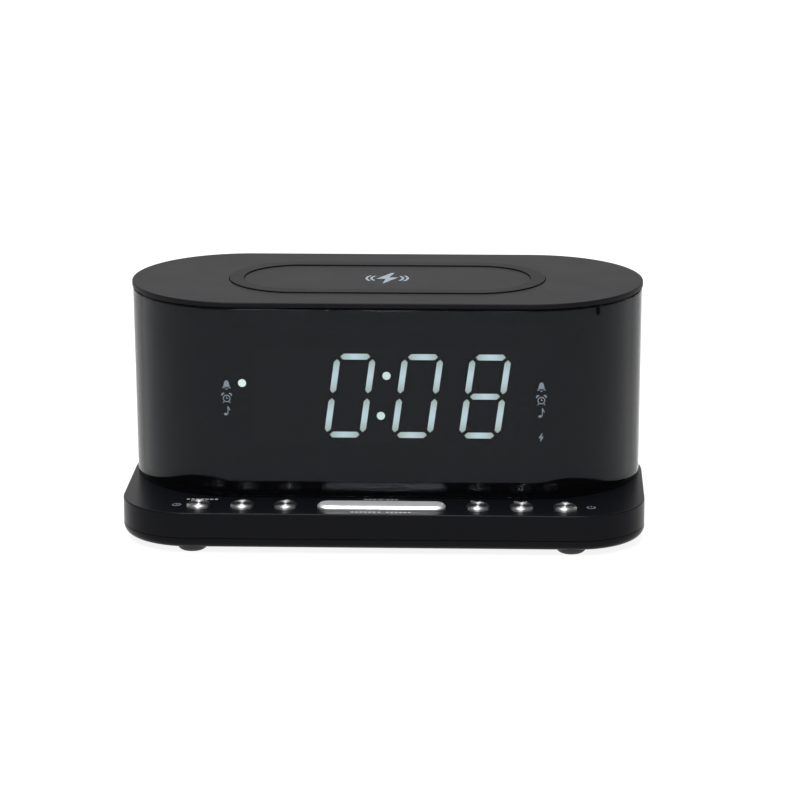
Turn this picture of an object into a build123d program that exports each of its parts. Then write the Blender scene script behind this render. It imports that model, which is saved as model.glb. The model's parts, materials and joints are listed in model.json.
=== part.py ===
from build123d import *

import os
from math import cos, radians, sin, sqrt, tan

os.makedirs("parts", exist_ok=True)

# A bedside clock radio whose lid charges a phone. Millimetres. X runs along the front, Y from front to back,
# Z up. The origin is at floor level, under the middle of the plinth.

# ------------------------------------------------------------------ driving sizes
# Cabinet: the upper body, a rectangle with two half-round ends in plan
cabinet_length = 181.0
cabinet_depth = 80.0
cabinet_height = 67.4  # from the deck to the top edge of the smoked front
cabinet_draft = 0.33  # degrees per side, wider towards the lid
lid_overhang = 0.25
lid_thickness = 1.7
lid_edge_radius = 0.4
cabinet_top_chamfer = 0.3
shadow_gap = 0.6  # between the smoked front and the lid
split_back = 15.0  # how far behind the cabinet's middle the two halves meet
pry_from_end_centre = 23.7  # where the notch for lifting the lid off sits, along X
pry_width = 1.5
pry_height = 3.2

# Plinth: the low base that carries the keys
plinth_margin = 0.5  # how far it stands out past the cabinet's ends and back
deck_reach = 19.0  # how far it stands out in front
plinth_corner = 24.0
deck_wall_height = 9.1
deck_thickness = 2.2
deck_wall = 2.2
deck_edge_radius = 0.5
cover_height = 3.6
cover_thickness = 2.2
cover_edge_radius = 3.0
parting_gap = 0.2
foot_height = 2.3
foot_top_diameter = 10.8
foot_bottom_diameter = 6.0
foot_seat_depth = 0.8
foot_from_end = 25.6
front_foot_inset = 7.75
rear_foot_inset = 12.0

# Walls and clearances
smoked_wall = 2.0
frame_wall = 2.0
rear_wall = 2.4
film_thickness = 0.2
film_space = 0.45
film_wrap = 6.0  # how far back the film follows the curve of the ends
film_overlap = 1.0  # how far it laps over the edge of the display
slip_gap = 0.05  # between pieces glued or pressed together
fit_gap = 0.3  # between pieces that only drop into place
running_gap = 0.3  # round everything that moves

# Lid details
ring_length = 112.0
ring_depth = 49.0
ring_width = 5.2
ring_height = 0.4  # above the lid
ring_seat_depth = 0.7
ring_edge_radius = 0.2
skirt_height = 4.0
skirt_wall = 1.6

# Keys
key_row_back = 9.0  # from the plinth's front to the row's centre line
key_pitch = 15.0
key_first = 33.2  # from the middle to the first round key
key_diameter = 8.3
key_proud = 1.1
key_edge = 0.7
bar_length = 44.3
bar_width = 8.0
bar_proud = 1.3
bar_edge = 0.7
key_travel = 0.7
key_flange = 1.2  # how far the flange stands out round the key, under the deck
key_flange_thickness = 0.8
stem_diameter = 3.4
switch_size = 6.0
switch_room = 6.1  # what the deck wall's height holds besides the switches
switch_height = deck_wall_height - switch_room
plunger_diameter = 3.4
plunger_proud = 0.9
plunger_sunk = switch_height / 3
key_board_thickness = 1.2
key_board_front = 3.8  # from the row's centre line to the board's front edge
key_board_depth = 13.0
bar_screw_side = 3.6  # past the end of the bar key
bar_screw_back = 4.0  # behind the row's centre line

# Display
digit_pitch = 23.36
digit_width = 12.2  # between the centre lines of the upright bars
digit_margin = 39.5  # what the cabinet's height leaves round the digits, and so for the next two
module_margin = 31.4
display_board_margin = 19.4
digit_height = cabinet_height - digit_margin  # between the centre lines of the top and bottom bars
digit_slant = 8.0  # degrees
bar_thickness = 2.1
bar_gap = 0.9  # from a corner of the centre lines to the tip of a bar
colon_diameter = 2.8
colon_spacing = 14.3
display_x = 0.3
display_above_middle = 2.5
module_length = 92.0
module_height = cabinet_height - module_margin
module_depth = 8.0
module_gap = 0.4
indicator_diameter = 2.85
indicator_x = 48.7
indicator_rise = 4.3  # the top indicator above the middle of the display
indicator_pitch = 4.65
charge_indicator_drop = 13.8
display_board_length = 104.0
display_board_height = cabinet_height - display_board_margin
display_post_x = 38.0
display_post_inset = 2.6  # from the board's upper and lower edges
display_post_z = display_board_height / 2 - display_post_inset

# Circuit boards
board_thickness = 1.6
main_board_length = 96.0
main_board_depth = 46.0
main_board_lift = 4.7
main_board_margin = 4.0
board_to_back = 1.2  # from the main board to the rear wall
lead_ahead = 5.0  # how far in front of the main board the flat lead rises
charger_board_length = 44.0
charger_board_depth = 34.0
charger_board_thickness = 1.2
charger_post_x = 15.0
charger_post_y = 12.0

# Charging coil, the common single-coil size
coil_diameter = 43.0
coil_bore = 20.5
coil_thickness = 1.5
ferrite_thickness = 1.0
coil_tray_floor = 1.2
coil_tray_wall = 1.4
coil_below_lid = 2.0
coil_lug_thickness = 1.6

# Speaker
speaker_size = 38.0
speaker_lift = 32.7  # its centre above the deck
speaker_flange = 1.2
speaker_corner = 4.0
speaker_gasket_thickness = 1.5
gasket_lap = 1.5
speaker_hole_pitch = 32.0
cone_diameter = 33.0
cone_depth = 6.0
basket_depth = 9.0
magnet_diameter = 22.0
magnet_height = 8.0
magnet_edge = 0.6
grille_diameter = 34.0
grille_pitch = 3.4
grille_slot = 1.8

# Sockets in the back
jack_x = -33.0
usb_x = 33.0
gland_x = 46.0
jack_width = 9.0
jack_height = 11.0
jack_depth = 14.0
jack_nose = 8.2
jack_bore = 6.3
jack_pin = 2.0
jack_end = 3.0  # solid behind the bore
usb_width = 13.1
usb_height = 5.7
usb_depth = 14.0
usb_shell = 0.3
usb_tongue = 1.8
usb_tongue_narrower = 2.0
usb_tongue_below = 0.7  # clear of the shell's roof
usb_tongue_sunk = 1.0
usb_end = 2.0
gland_diameter = 5.0
gland_bore = 1.6
gland_flange = 1.0
gland_lap = 0.9
gland_proud = 0.6  # past the back of the cabinet

# Coin cell and its pull-out tray
cell_diameter = 20.0
cell_height = 3.2
cell_edge = 0.4
tray_wall = 1.8
tray_floor = 0.8
tray_face = 1.2
tray_face_lap = 1.6
tray_nib = 0.7
tray_face_sunk = 0.2
tray_nose = 3.0  # in front of the cell
tray_nib_height = 1.6
cage_wall = 1.0

# Screws
case_screw_diameter = 2.6
case_screw_head = 5.0
case_screw_head_height = 1.8
case_screw_length = 7.0
board_screw_diameter = 2.2
board_screw_head = 4.0
board_screw_head_height = 1.4
board_screw_length = 4.4
pilot_gap = 0.05
clearance_gap = 0.3
boss_wall = 1.6
boss_bite = 0.6  # how far a boss runs into the wall it stands against
column_web = 2.2  # what a lid screw's head bears on

# ------------------------------------------------------------------ levels and places worked out from them
plinth_length = cabinet_length + 2 * plinth_margin
plinth_depth = deck_reach + cabinet_depth + plinth_margin
foot_x = plinth_length / 2 - foot_from_end
plinth_front_y = -plinth_depth / 2
cabinet_y = plinth_depth / 2 - plinth_margin - cabinet_depth / 2
end_x = (cabinet_length - cabinet_depth) / 2
split_y = cabinet_y + split_back

cover_z = foot_height
parting_z = cover_z + cover_height
deck_z = parting_z + deck_wall_height
deck_under_z = deck_z - deck_thickness
cover_floor_z = cover_z + cover_thickness
front_top_z = deck_z + cabinet_height
lid_z = front_top_z + shadow_gap
lid_top_z = lid_z + lid_thickness

foot_inset = lid_overhang + cabinet_height * tan(radians(cabinet_draft))
smoked_inset = foot_inset + smoked_wall
frame_inset = smoked_inset + film_space
frame_inner_inset = frame_inset + frame_wall
rear_inner_inset = foot_inset + rear_wall
skirt_inset = frame_inner_inset + fit_gap
smoked_inner_y = cabinet_y - cabinet_depth / 2 + smoked_inset
frame_front_y = cabinet_y - cabinet_depth / 2 + frame_inset
rear_inner_y = cabinet_y + cabinet_depth / 2 - rear_inner_inset
frame_top_z = front_top_z - shadow_gap
column_top_z = lid_z - skirt_height - fit_gap

module_front_y = smoked_inner_y + module_gap
display_board_y = module_front_y + module_depth
display_z = (deck_z + front_top_z) / 2 + display_above_middle
display_board_back_y = display_board_y + board_thickness

key_row_y = plinth_front_y + key_row_back
key_flange_top_z = deck_under_z - slip_gap
key_flange_z = key_flange_top_z - key_flange_thickness
plunger_top_z = key_flange_z - fit_gap
switch_top_z = plunger_top_z - plunger_proud
key_board_top_z = switch_top_z - switch_height
key_names = ["time", "down", "up", "alarm_one", "alarm_two", "power"]
key_xs = [side * (key_first + i * key_pitch) for side, steps in ((-1, (2, 1, 0)), (1, (0, 1, 2))) for i in steps]
switch_xs = key_xs + [0.0]

board_z = deck_z + main_board_lift
board_top_z = board_z + board_thickness
board_back_y = rear_inner_y - board_to_back
board_front_y = board_back_y - main_board_depth
lead_y = board_front_y - lead_ahead

boss_diameter = case_screw_diameter + 2 * boss_wall
post_diameter = board_screw_diameter + 2 * boss_wall
column_diameter = case_screw_head + 2 * fit_gap + 2 * boss_wall
case_pilot = case_screw_diameter / 2 + pilot_gap
board_pilot = board_screw_diameter / 2 + pilot_gap
case_clearance = case_screw_diameter / 2 + clearance_gap
board_clearance = board_screw_diameter / 2 + clearance_gap


def at_y(y):
    """A plane facing the front at this depth: its own axes are X and Z, and a negative extrusion goes back."""
    return Plane.XZ.offset(-y)


def stadium(inset):
    """The cabinet's plan, drawn this far inside the edge of the lid."""
    with BuildSketch(mode=Mode.PRIVATE) as plan:
        with Locations((0, cabinet_y)):
            SlotOverall(cabinet_length - 2 * inset, cabinet_depth - 2 * inset)
    return plan.sketch


def plinth_plan(inset):
    """The plinth's plan: half-round ends at the back, rounded corners at the front."""
    front = plinth_front_y + inset
    width = plinth_length - 2 * inset
    with BuildSketch(mode=Mode.PRIVATE) as plan:
        with Locations((0, (front + cabinet_y) / 2)):
            Rectangle(width, cabinet_y - front)
        fillet(plan.vertices().group_by(Axis.Y)[0], plinth_corner - inset)
        with Locations((0, cabinet_y)):
            SlotOverall(width, cabinet_depth + 2 * plinth_margin - 2 * inset)
    return plan.sketch


def mirrored(x, y):
    return [(x, y), (-x, y)]


def round_end_points(radius, angle):
    """Two mirrored points about the centres of the cabinet's round ends."""
    return mirrored(end_x + radius * cos(radians(angle)), cabinet_y + radius * sin(radians(angle)))


def screw(head_diameter, head_height, diameter, length):
    """A pan-head screw, head up, seated on the XY plane, with a cross recess."""
    recess_length = 0.62 * head_diameter
    recess_width = 0.16 * head_diameter
    with BuildPart() as blank:
        with BuildSketch():
            Circle(head_diameter / 2)
        extrude(amount=head_height)
        fillet(blank.edges().group_by(Axis.Z)[-1], 0.4 * head_height)
        with BuildSketch(Plane.XY.offset(head_height)):
            Rectangle(recess_length, recess_width)
            Rectangle(recess_width, recess_length)
        extrude(amount=-0.6 * head_height, mode=Mode.SUBTRACT)
        with BuildSketch():
            Circle(diameter / 2)
        extrude(amount=-length)
        chamfer(blank.edges().group_by(Axis.Z)[0], 0.3 * diameter)
    return blank.part


# Where the screws go
column_reach = column_diameter / 2 - boss_bite
front_columns = round_end_points(cabinet_depth / 2 - frame_inner_inset - column_reach, -30)
rear_columns = round_end_points(cabinet_depth / 2 - rear_inner_inset - column_reach, 45)
boss_reach = boss_diameter / 2 - boss_bite
front_deck_bosses = round_end_points(cabinet_depth / 2 - frame_inner_inset - boss_reach, -62)
rear_deck_bosses = round_end_points(cabinet_depth / 2 - rear_inner_inset - boss_reach, 72)
deck_boss_height = 9.0
cover_boss_inset = 9.0
corner_boss_inset = 13.0
corner_boss_back = 16.5
back_boss_shift = 4.0
cover_screw_points = (
    mirrored(plinth_length / 2 - corner_boss_inset, plinth_front_y + corner_boss_back)
    + mirrored(plinth_length / 2 - cover_boss_inset, cabinet_y)
    + mirrored(end_x - back_boss_shift, plinth_depth / 2 - cover_boss_inset)
)
main_board_points = mirrored(main_board_length / 2 - main_board_margin, board_front_y + main_board_margin)
main_board_points += mirrored(main_board_length / 2 - main_board_margin, board_back_y - main_board_margin)
key_board_overhang = 9.0
key_screw_shift = 6.0
key_board_length = 2 * (key_xs[-1] + key_board_overhang)
key_board_points = mirrored(key_xs[-1] + key_screw_shift, key_row_y + key_screw_shift)
key_board_points += mirrored(bar_length / 2 + bar_screw_side, key_row_y + bar_screw_back)
display_post_points = [(display_x + sx * display_post_x, display_z + sz * display_post_z)
                       for sx in (-1, 1) for sz in (-1, 1)]
coil_tray_radius = coil_diameter / 2 + fit_gap + coil_tray_wall
coil_lug_radius = coil_tray_radius + post_diameter / 2
coil_top_z = lid_z - coil_below_lid
coil_z = coil_top_z - coil_thickness
ferrite_z = coil_z - ferrite_thickness
coil_tray_z = ferrite_z - coil_tray_floor
coil_lug_points = [(coil_lug_radius, cabinet_y), (-coil_lug_radius, cabinet_y)]
charger_posts_height = 2.4
charger_board_top_z = coil_tray_z - charger_posts_height
charger_post_points = [(sx * charger_post_x, cabinet_y + sy * charger_post_y) for sx in (-1, 1) for sy in (-1, 1)]
speaker_z = deck_z + speaker_lift
speaker_flange_back_y = rear_inner_y - speaker_gasket_thickness
speaker_front_y = speaker_flange_back_y - speaker_flange
speaker_hole_points = [(sx * speaker_hole_pitch / 2, speaker_z + sz * speaker_hole_pitch / 2)
                       for sx in (-1, 1) for sz in (-1, 1)]

# ------------------------------------------------------------------ lid
with BuildPart() as top_cover:
    with BuildSketch(Plane.XY.offset(lid_z)):
        add(stadium(0))
    extrude(amount=lid_thickness)
    fillet(top_cover.edges().group_by(Axis.Z)[-1], lid_edge_radius)
    with BuildSketch(Plane.XY.offset(lid_z - skirt_height)):
        add(stadium(skirt_inset))
        add(stadium(skirt_inset + skirt_wall), mode=Mode.SUBTRACT)
    extrude(amount=skirt_height)
    with BuildSketch(Plane.XY.offset(column_top_z)):
        with Locations(*front_columns, *rear_columns):
            Circle(boss_diameter / 2)
    extrude(amount=lid_z - column_top_z)
    with BuildSketch(Plane.XY.offset(coil_tray_z + coil_lug_thickness)):
        with Locations(*coil_lug_points):
            Circle(post_diameter / 2)
    extrude(amount=lid_z - coil_tray_z - coil_lug_thickness)
    with BuildSketch(Plane.XY.offset(lid_top_z - ring_seat_depth)):
        with Locations((0, cabinet_y)):
            SlotOverall(ring_length, ring_depth)
            SlotOverall(ring_length - 2 * ring_width, ring_depth - 2 * ring_width, mode=Mode.SUBTRACT)
    extrude(amount=ring_seat_depth, mode=Mode.SUBTRACT)
    with BuildSketch(Plane.XY.offset(column_top_z)):
        with Locations(*front_columns, *rear_columns):
            Circle(case_pilot)
    extrude(amount=case_screw_length - column_web + fit_gap, mode=Mode.SUBTRACT)
    with BuildSketch(Plane.XY.offset(coil_tray_z + coil_lug_thickness)):
        with Locations(*coil_lug_points):
            Circle(board_pilot)
    extrude(amount=lid_z - coil_tray_z - coil_lug_thickness, mode=Mode.SUBTRACT)
top_cover.part.label = "top_cover"
export_step(top_cover.part, "parts/top_cover.step")

# Soft ring that keeps a phone from sliding; it sits in a groove in the lid
with BuildPart() as grip_ring:
    with BuildSketch(Plane.XY.offset(lid_top_z - ring_seat_depth)):
        with Locations((0, cabinet_y)):
            SlotOverall(ring_length - 2 * slip_gap, ring_depth - 2 * slip_gap)
            SlotOverall(
                ring_length - 2 * ring_width + 2 * slip_gap,
                ring_depth - 2 * ring_width + 2 * slip_gap,
                mode=Mode.SUBTRACT,
            )
    extrude(amount=ring_seat_depth + ring_height)
    fillet(grip_ring.edges().group_by(Axis.Z)[-1], ring_edge_radius)
grip_ring.part.label = "grip_ring"
export_step(grip_ring.part, "parts/grip_ring.step")

# ------------------------------------------------------------------ cabinet
# Smoked front: one wrap-round moulding over the front and both ends
pry_radius = cabinet_depth / 2 - foot_inset
pry_y = cabinet_y - sqrt(pry_radius ** 2 - pry_from_end_centre ** 2)
with BuildPart() as smoked_front:
    with BuildSketch(Plane.XY.offset(deck_z)):
        add(stadium(foot_inset))
    extrude(amount=cabinet_height, taper=-cabinet_draft)
    chamfer(smoked_front.edges().group_by(Axis.Z)[-1], cabinet_top_chamfer)
    with BuildSketch(Plane.XY.offset(deck_z)):
        add(stadium(smoked_inset))
    extrude(amount=cabinet_height, mode=Mode.SUBTRACT)
    with Locations((0, split_y, deck_z)):
        Box(
            cabinet_length + 2, cabinet_depth, cabinet_height,
            align=(Align.CENTER, Align.MIN, Align.MIN), mode=Mode.SUBTRACT,
        )
    # a small notch under the lid, for lifting it off
    with Locations((end_x + pry_from_end_centre, pry_y, front_top_z)):
        Box(
            pry_width, 3 * smoked_wall, pry_height,
            align=(Align.CENTER, Align.CENTER, Align.MAX), mode=Mode.SUBTRACT,
        )
smoked_front.part.label = "smoked_front"
export_step(smoked_front.part, "parts/smoked_front.step")

indicator_points = [(side * indicator_x, display_z + indicator_rise - i * indicator_pitch)
                    for side in (-1, 1) for i in range(3)]
indicator_points.append((indicator_x, display_z - charge_indicator_drop))

# Printed mask on the inner face of the smoked front, with clear windows
with BuildPart() as mask_film:
    with BuildSketch(Plane.XY.offset(display_z - display_board_height / 2)):
        add(stadium(smoked_inset + slip_gap))
        add(stadium(smoked_inset + slip_gap + film_thickness), mode=Mode.SUBTRACT)
        with Locations((0, smoked_inner_y + film_wrap)):
            Rectangle(
                cabinet_length, cabinet_depth,
                align=(Align.CENTER, Align.MIN), mode=Mode.SUBTRACT,
            )
    extrude(amount=display_board_height)
    with BuildSketch(at_y(smoked_inner_y)):
        with Locations((display_x, display_z)):
            Rectangle(module_length - 2 * film_overlap, module_height - 2 * film_overlap)
        with Locations(*indicator_points):
            Circle(indicator_diameter / 2)
    extrude(amount=-film_space, mode=Mode.SUBTRACT)
mask_film.part.label = "mask_film"
export_step(mask_film.part, "parts/mask_film.step")

# Front frame: the moulding behind the smoked front that holds the display
with BuildPart() as front_frame:
    with BuildSketch(Plane.XY.offset(deck_z)):
        add(stadium(frame_inset))
        add(stadium(frame_inner_inset), mode=Mode.SUBTRACT)
        with Locations((0, split_y - fit_gap)):
            Rectangle(
                cabinet_length, cabinet_depth,
                align=(Align.CENTER, Align.MIN), mode=Mode.SUBTRACT,
            )
    extrude(amount=frame_top_z - deck_z)
    with BuildSketch(Plane.XY.offset(deck_z)):
        with Locations(*front_columns):
            Circle(column_diameter / 2)
    extrude(amount=column_top_z - deck_z)
    with BuildSketch(Plane.XY.offset(deck_z)):
        with Locations(*front_deck_bosses):
            Circle(boss_diameter / 2)
    extrude(amount=deck_boss_height)
    with BuildSketch(at_y(frame_front_y + frame_wall / 2)):
        with Locations(*display_post_points):
            Circle(post_diameter / 2)
    extrude(amount=-(display_board_y - frame_front_y - frame_wall / 2))
    # window for the display and holes for the indicator guides
    with BuildSketch(at_y(frame_front_y)):
        with Locations((display_x, display_z)):
            Rectangle(module_length + 2 * fit_gap, module_height + 2 * fit_gap)
        with Locations(*indicator_points):
            Circle(indicator_diameter / 2 + slip_gap)
    extrude(amount=-frame_wall, mode=Mode.SUBTRACT)
    # columns take the lid's screws from below; bosses take the plinth's
    with BuildSketch(Plane.XY.offset(deck_z)):
        with Locations(*front_columns):
            Circle(case_screw_head / 2 + fit_gap)
    extrude(amount=column_top_z - deck_z - column_web, mode=Mode.SUBTRACT)
    with BuildSketch(Plane.XY.offset(deck_z)):
        with Locations(*front_columns):
            Circle(case_clearance)
    extrude(amount=column_top_z - deck_z, mode=Mode.SUBTRACT)
    with BuildSketch(Plane.XY.offset(deck_z)):
        with Locations(*front_deck_bosses):
            Circle(case_pilot)
    extrude(amount=deck_boss_height - boss_wall, mode=Mode.SUBTRACT)
    with BuildSketch(at_y(display_board_y)):
        with Locations(*display_post_points):
            Circle(board_pilot)
    extrude(amount=board_screw_length, mode=Mode.SUBTRACT)
front_frame.part.label = "front_frame"
export_step(front_frame.part, "parts/front_frame.step")

# Rear housing: the back of the cabinet, with the speaker grille and the sockets
jack_z = board_top_z + jack_height / 2 + fit_gap
usb_z = board_top_z + usb_height / 2 + fit_gap
gland_z = usb_z
tray_width = cell_diameter + 2 * slip_gap + 2 * tray_wall
tray_height = cell_height + tray_floor + fit_gap
tray_z = board_top_z + cage_wall + running_gap
tray_mid_z = tray_z + tray_height / 2
tray_face_width = tray_width + 2 * tray_face_lap
tray_face_height = tray_height + 2 * tray_face_lap
rear_outer_y = rear_inner_y + rear_wall
tray_face_y = rear_outer_y - tray_face - tray_face_sunk
tray_face_seat_y = tray_face_y - running_gap
tray_length = cell_diameter + 2 * slip_gap + 2 * tray_wall + tray_nose
with BuildPart() as rear_housing:
    with BuildSketch(Plane.XY.offset(deck_z)):
        add(stadium(foot_inset))
    extrude(amount=cabinet_height, taper=-cabinet_draft)
    chamfer(rear_housing.edges().group_by(Axis.Z)[-1], cabinet_top_chamfer)
    with BuildSketch(Plane.XY.offset(deck_z)):
        add(stadium(rear_inner_inset))
    extrude(amount=cabinet_height, mode=Mode.SUBTRACT)
    with Locations((0, split_y + slip_gap, deck_z)):
        Box(
            cabinet_length + 2, 2 * cabinet_depth, cabinet_height,
            align=(Align.CENTER, Align.MAX, Align.MIN), mode=Mode.SUBTRACT,
        )
    with BuildSketch(Plane.XY.offset(deck_z)):
        with Locations(*rear_columns):
            Circle(column_diameter / 2)
    extrude(amount=column_top_z - deck_z)
    with BuildSketch(Plane.XY.offset(deck_z)):
        with Locations(*rear_deck_bosses):
            Circle(boss_diameter / 2)
    extrude(amount=deck_boss_height)
    with BuildSketch(at_y(speaker_flange_back_y)):
        with Locations(*speaker_hole_points):
            Circle(post_diameter / 2)
    extrude(amount=-speaker_gasket_thickness - rear_wall / 2)
    # speaker grille
    with BuildSketch(at_y(rear_inner_y)):
        rows = int(grille_diameter / 2 / grille_pitch)
        for row in range(-rows, rows + 1):
            half = sqrt((grille_diameter / 2) ** 2 - (row * grille_pitch) ** 2)
            if half > 2 * grille_slot:
                with Locations((0, speaker_z + row * grille_pitch)):
                    SlotOverall(2 * half, grille_slot)
    extrude(amount=-2 * rear_wall, mode=Mode.SUBTRACT)
    # sockets, gland and tray opening
    with BuildSketch(at_y(rear_inner_y)):
        with Locations((jack_x, jack_z)):
            Circle(jack_nose / 2 + fit_gap)
        with Locations((usb_x, usb_z)):
            Rectangle(usb_width + 2 * fit_gap, usb_height + 2 * fit_gap)
        with Locations((gland_x, gland_z)):
            Circle(gland_diameter / 2)
        with Locations((0, tray_mid_z)):
            Rectangle(tray_width + 2 * running_gap, tray_height + 2 * running_gap)
    extrude(amount=-2 * rear_wall, mode=Mode.SUBTRACT)
    with BuildSketch(at_y(tray_face_seat_y)):
        with Locations((0, tray_mid_z)):
            Rectangle(tray_face_width + 2 * running_gap, tray_face_height + 2 * running_gap)
    extrude(amount=-2 * rear_wall, mode=Mode.SUBTRACT)
    # screw holes
    with BuildSketch(Plane.XY.offset(deck_z)):
        with Locations(*rear_columns):
            Circle(case_screw_head / 2 + fit_gap)
    extrude(amount=column_top_z - deck_z - column_web, mode=Mode.SUBTRACT)
    with BuildSketch(Plane.XY.offset(deck_z)):
        with Locations(*rear_columns):
            Circle(case_clearance)
    extrude(amount=column_top_z - deck_z, mode=Mode.SUBTRACT)
    with BuildSketch(Plane.XY.offset(deck_z)):
        with Locations(*rear_deck_bosses):
            Circle(case_pilot)
    extrude(amount=deck_boss_height - boss_wall, mode=Mode.SUBTRACT)
    with BuildSketch(at_y(speaker_flange_back_y)):
        with Locations(*speaker_hole_points):
            Circle(board_pilot)
    extrude(amount=-(board_screw_length - speaker_flange), mode=Mode.SUBTRACT)
rear_housing.part.label = "rear_housing"
export_step(rear_housing.part, "parts/rear_housing.step")

# ------------------------------------------------------------------ plinth
lead_slot_width = 16.0
lead_slot_depth = 5.0
lead_x = 14.0
with BuildPart() as plinth_deck:
    with BuildSketch(Plane.XY.offset(parting_z + parting_gap)):
        add(plinth_plan(0))
    extrude(amount=deck_wall_height - parting_gap)
    fillet(plinth_deck.edges().group_by(Axis.Z)[-1], deck_edge_radius)
    with BuildSketch(Plane.XY.offset(parting_z + parting_gap)):
        add(plinth_plan(deck_wall))
    extrude(amount=deck_under_z - parting_z - parting_gap, mode=Mode.SUBTRACT)
    with BuildSketch(Plane.XY.offset(cover_floor_z)):
        with Locations(*cover_screw_points):
            Circle(boss_diameter / 2)
    extrude(amount=deck_under_z - cover_floor_z)
    with BuildSketch(Plane.XY.offset(key_board_top_z)):
        with Locations(*key_board_points):
            Circle(post_diameter / 2)
    extrude(amount=deck_under_z - key_board_top_z)
    with BuildSketch(Plane.XY.offset(deck_z)):
        with Locations(*main_board_points):
            Circle(post_diameter / 2)
    extrude(amount=main_board_lift)
    # openings for the keys and the flat lead
    with BuildSketch(Plane.XY.offset(deck_under_z)):
        with Locations(*[(x, key_row_y) for x in key_xs]):
            Circle(key_diameter / 2 + running_gap)
        with Locations((0, key_row_y)):
            SlotOverall(bar_length + 2 * running_gap, bar_width + 2 * running_gap)
        with Locations((lead_x, lead_y)):
            Rectangle(lead_slot_width, lead_slot_depth)
        with Locations(*front_deck_bosses, *rear_deck_bosses):
            Circle(case_clearance)
    extrude(amount=deck_thickness, mode=Mode.SUBTRACT)
    with BuildSketch(Plane.XY.offset(cover_floor_z)):
        with Locations(*cover_screw_points):
            Circle(case_pilot)
    extrude(amount=deck_under_z - cover_floor_z, mode=Mode.SUBTRACT)
    with BuildSketch(Plane.XY.offset(key_board_top_z)):
        with Locations(*key_board_points):
            Circle(board_pilot)
    extrude(amount=deck_under_z - key_board_top_z, mode=Mode.SUBTRACT)
    with BuildSketch(Plane.XY.offset(board_z)):
        with Locations(*main_board_points):
            Circle(board_pilot)
    extrude(amount=-board_screw_length, mode=Mode.SUBTRACT)
plinth_deck.part.label = "plinth_deck"
export_step(plinth_deck.part, "parts/plinth_deck.step")

foot_points = mirrored(foot_x, plinth_front_y + front_foot_inset)
foot_points += mirrored(foot_x, plinth_depth / 2 - rear_foot_inset)
label_length = 46.0
label_width = 24.0
label_thickness = 0.2
lip_wall = 1.2
lip_height = 2.0
vent_length = 16.0
vent_width = 2.0
vent_pitch = 5.0
vent_count = 7
with BuildPart() as bottom_cover:
    with BuildSketch(Plane.XY.offset(cover_z)):
        add(plinth_plan(0))
    extrude(amount=cover_height)
    fillet(bottom_cover.edges().group_by(Axis.Z)[0], cover_edge_radius)
    with BuildSketch(Plane.XY.offset(cover_floor_z)):
        add(plinth_plan(deck_wall + fit_gap + lip_wall))
    extrude(amount=cover_height, mode=Mode.SUBTRACT)
    with BuildSketch(Plane.XY.offset(parting_z)):
        add(plinth_plan(deck_wall + fit_gap))
        add(plinth_plan(deck_wall + fit_gap + lip_wall), mode=Mode.SUBTRACT)
    extrude(amount=lip_height)
    # screw holes, heads sunk from below
    with BuildSketch(Plane.XY.offset(cover_z)):
        with Locations(*cover_screw_points):
            Circle(case_clearance)
    extrude(amount=cover_thickness, mode=Mode.SUBTRACT)
    with BuildSketch(Plane.XY.offset(cover_z)):
        with Locations(*cover_screw_points):
            Circle(case_screw_head / 2 + fit_gap)
    extrude(amount=cover_thickness / 2, mode=Mode.SUBTRACT)
    with BuildSketch(Plane.XY.offset(cover_z)):
        with Locations(*foot_points):
            Circle(foot_top_diameter / 2 + slip_gap)
    extrude(amount=foot_seat_depth, mode=Mode.SUBTRACT)
    with BuildSketch(Plane.XY.offset(cover_z)):
        with Locations((0, cabinet_y)):
            Rectangle(label_length + 2 * slip_gap, label_width + 2 * slip_gap)
    extrude(amount=label_thickness, mode=Mode.SUBTRACT)
    with BuildSketch(Plane.XY.offset(cover_z)):
        with Locations((-end_x, cabinet_y), (end_x, cabinet_y)):
            with GridLocations(0, vent_pitch, 1, vent_count):
                SlotOverall(vent_length, vent_width)
    extrude(amount=cover_thickness, mode=Mode.SUBTRACT)
bottom_cover.part.label = "bottom_cover"
export_step(bottom_cover.part, "parts/bottom_cover.step")

# Blank rating label, let into the bottom cover
with BuildPart() as rating_label:
    with BuildSketch(Plane.XY.offset(cover_z)):
        with Locations((0, cabinet_y)):
            Rectangle(label_length, label_width)
    extrude(amount=label_thickness)
rating_label.part.label = "rating_label"
export_step(rating_label.part, "parts/rating_label.step")

# Feet: soft round-edged buttons glued into shallow seats
foot_names = ["front_right_foot", "front_left_foot", "rear_right_foot", "rear_left_foot"]
for foot_name, place in zip(foot_names, foot_points):
    with BuildPart() as foot:
        with BuildSketch():
            with Locations(place):
                Circle(foot_top_diameter / 2)
        extrude(amount=foot_height + foot_seat_depth)
        fillet(foot.edges().group_by(Axis.Z)[0], (foot_top_diameter - foot_bottom_diameter) / 2)
    foot.part.label = foot_name
    export_step(foot.part, f"parts/{foot_name}.step")

# ------------------------------------------------------------------ keys, their plungers and switches
for key_name, x in zip(key_names, key_xs):
    with BuildPart() as key:
        with BuildSketch(Plane.XY.offset(key_flange_z)):
            with Locations((x, key_row_y)):
                Circle(key_diameter / 2 + key_flange)
        extrude(amount=key_flange_thickness)
        with BuildSketch(Plane.XY.offset(key_flange_top_z)):
            with Locations((x, key_row_y)):
                Circle(key_diameter / 2)
        extrude(amount=deck_z + key_proud - key_flange_top_z)
        fillet(key.edges().group_by(Axis.Z)[-1], key_edge)
        with BuildSketch(Plane.XY.offset(plunger_top_z)):
            with Locations((x, key_row_y)):
                Circle(stem_diameter / 2)
        extrude(amount=key_flange_z - plunger_top_z)
    key.part.label = f"{key_name}_key"
    export_step(key.part, f"parts/{key_name}_key.step")

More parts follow.
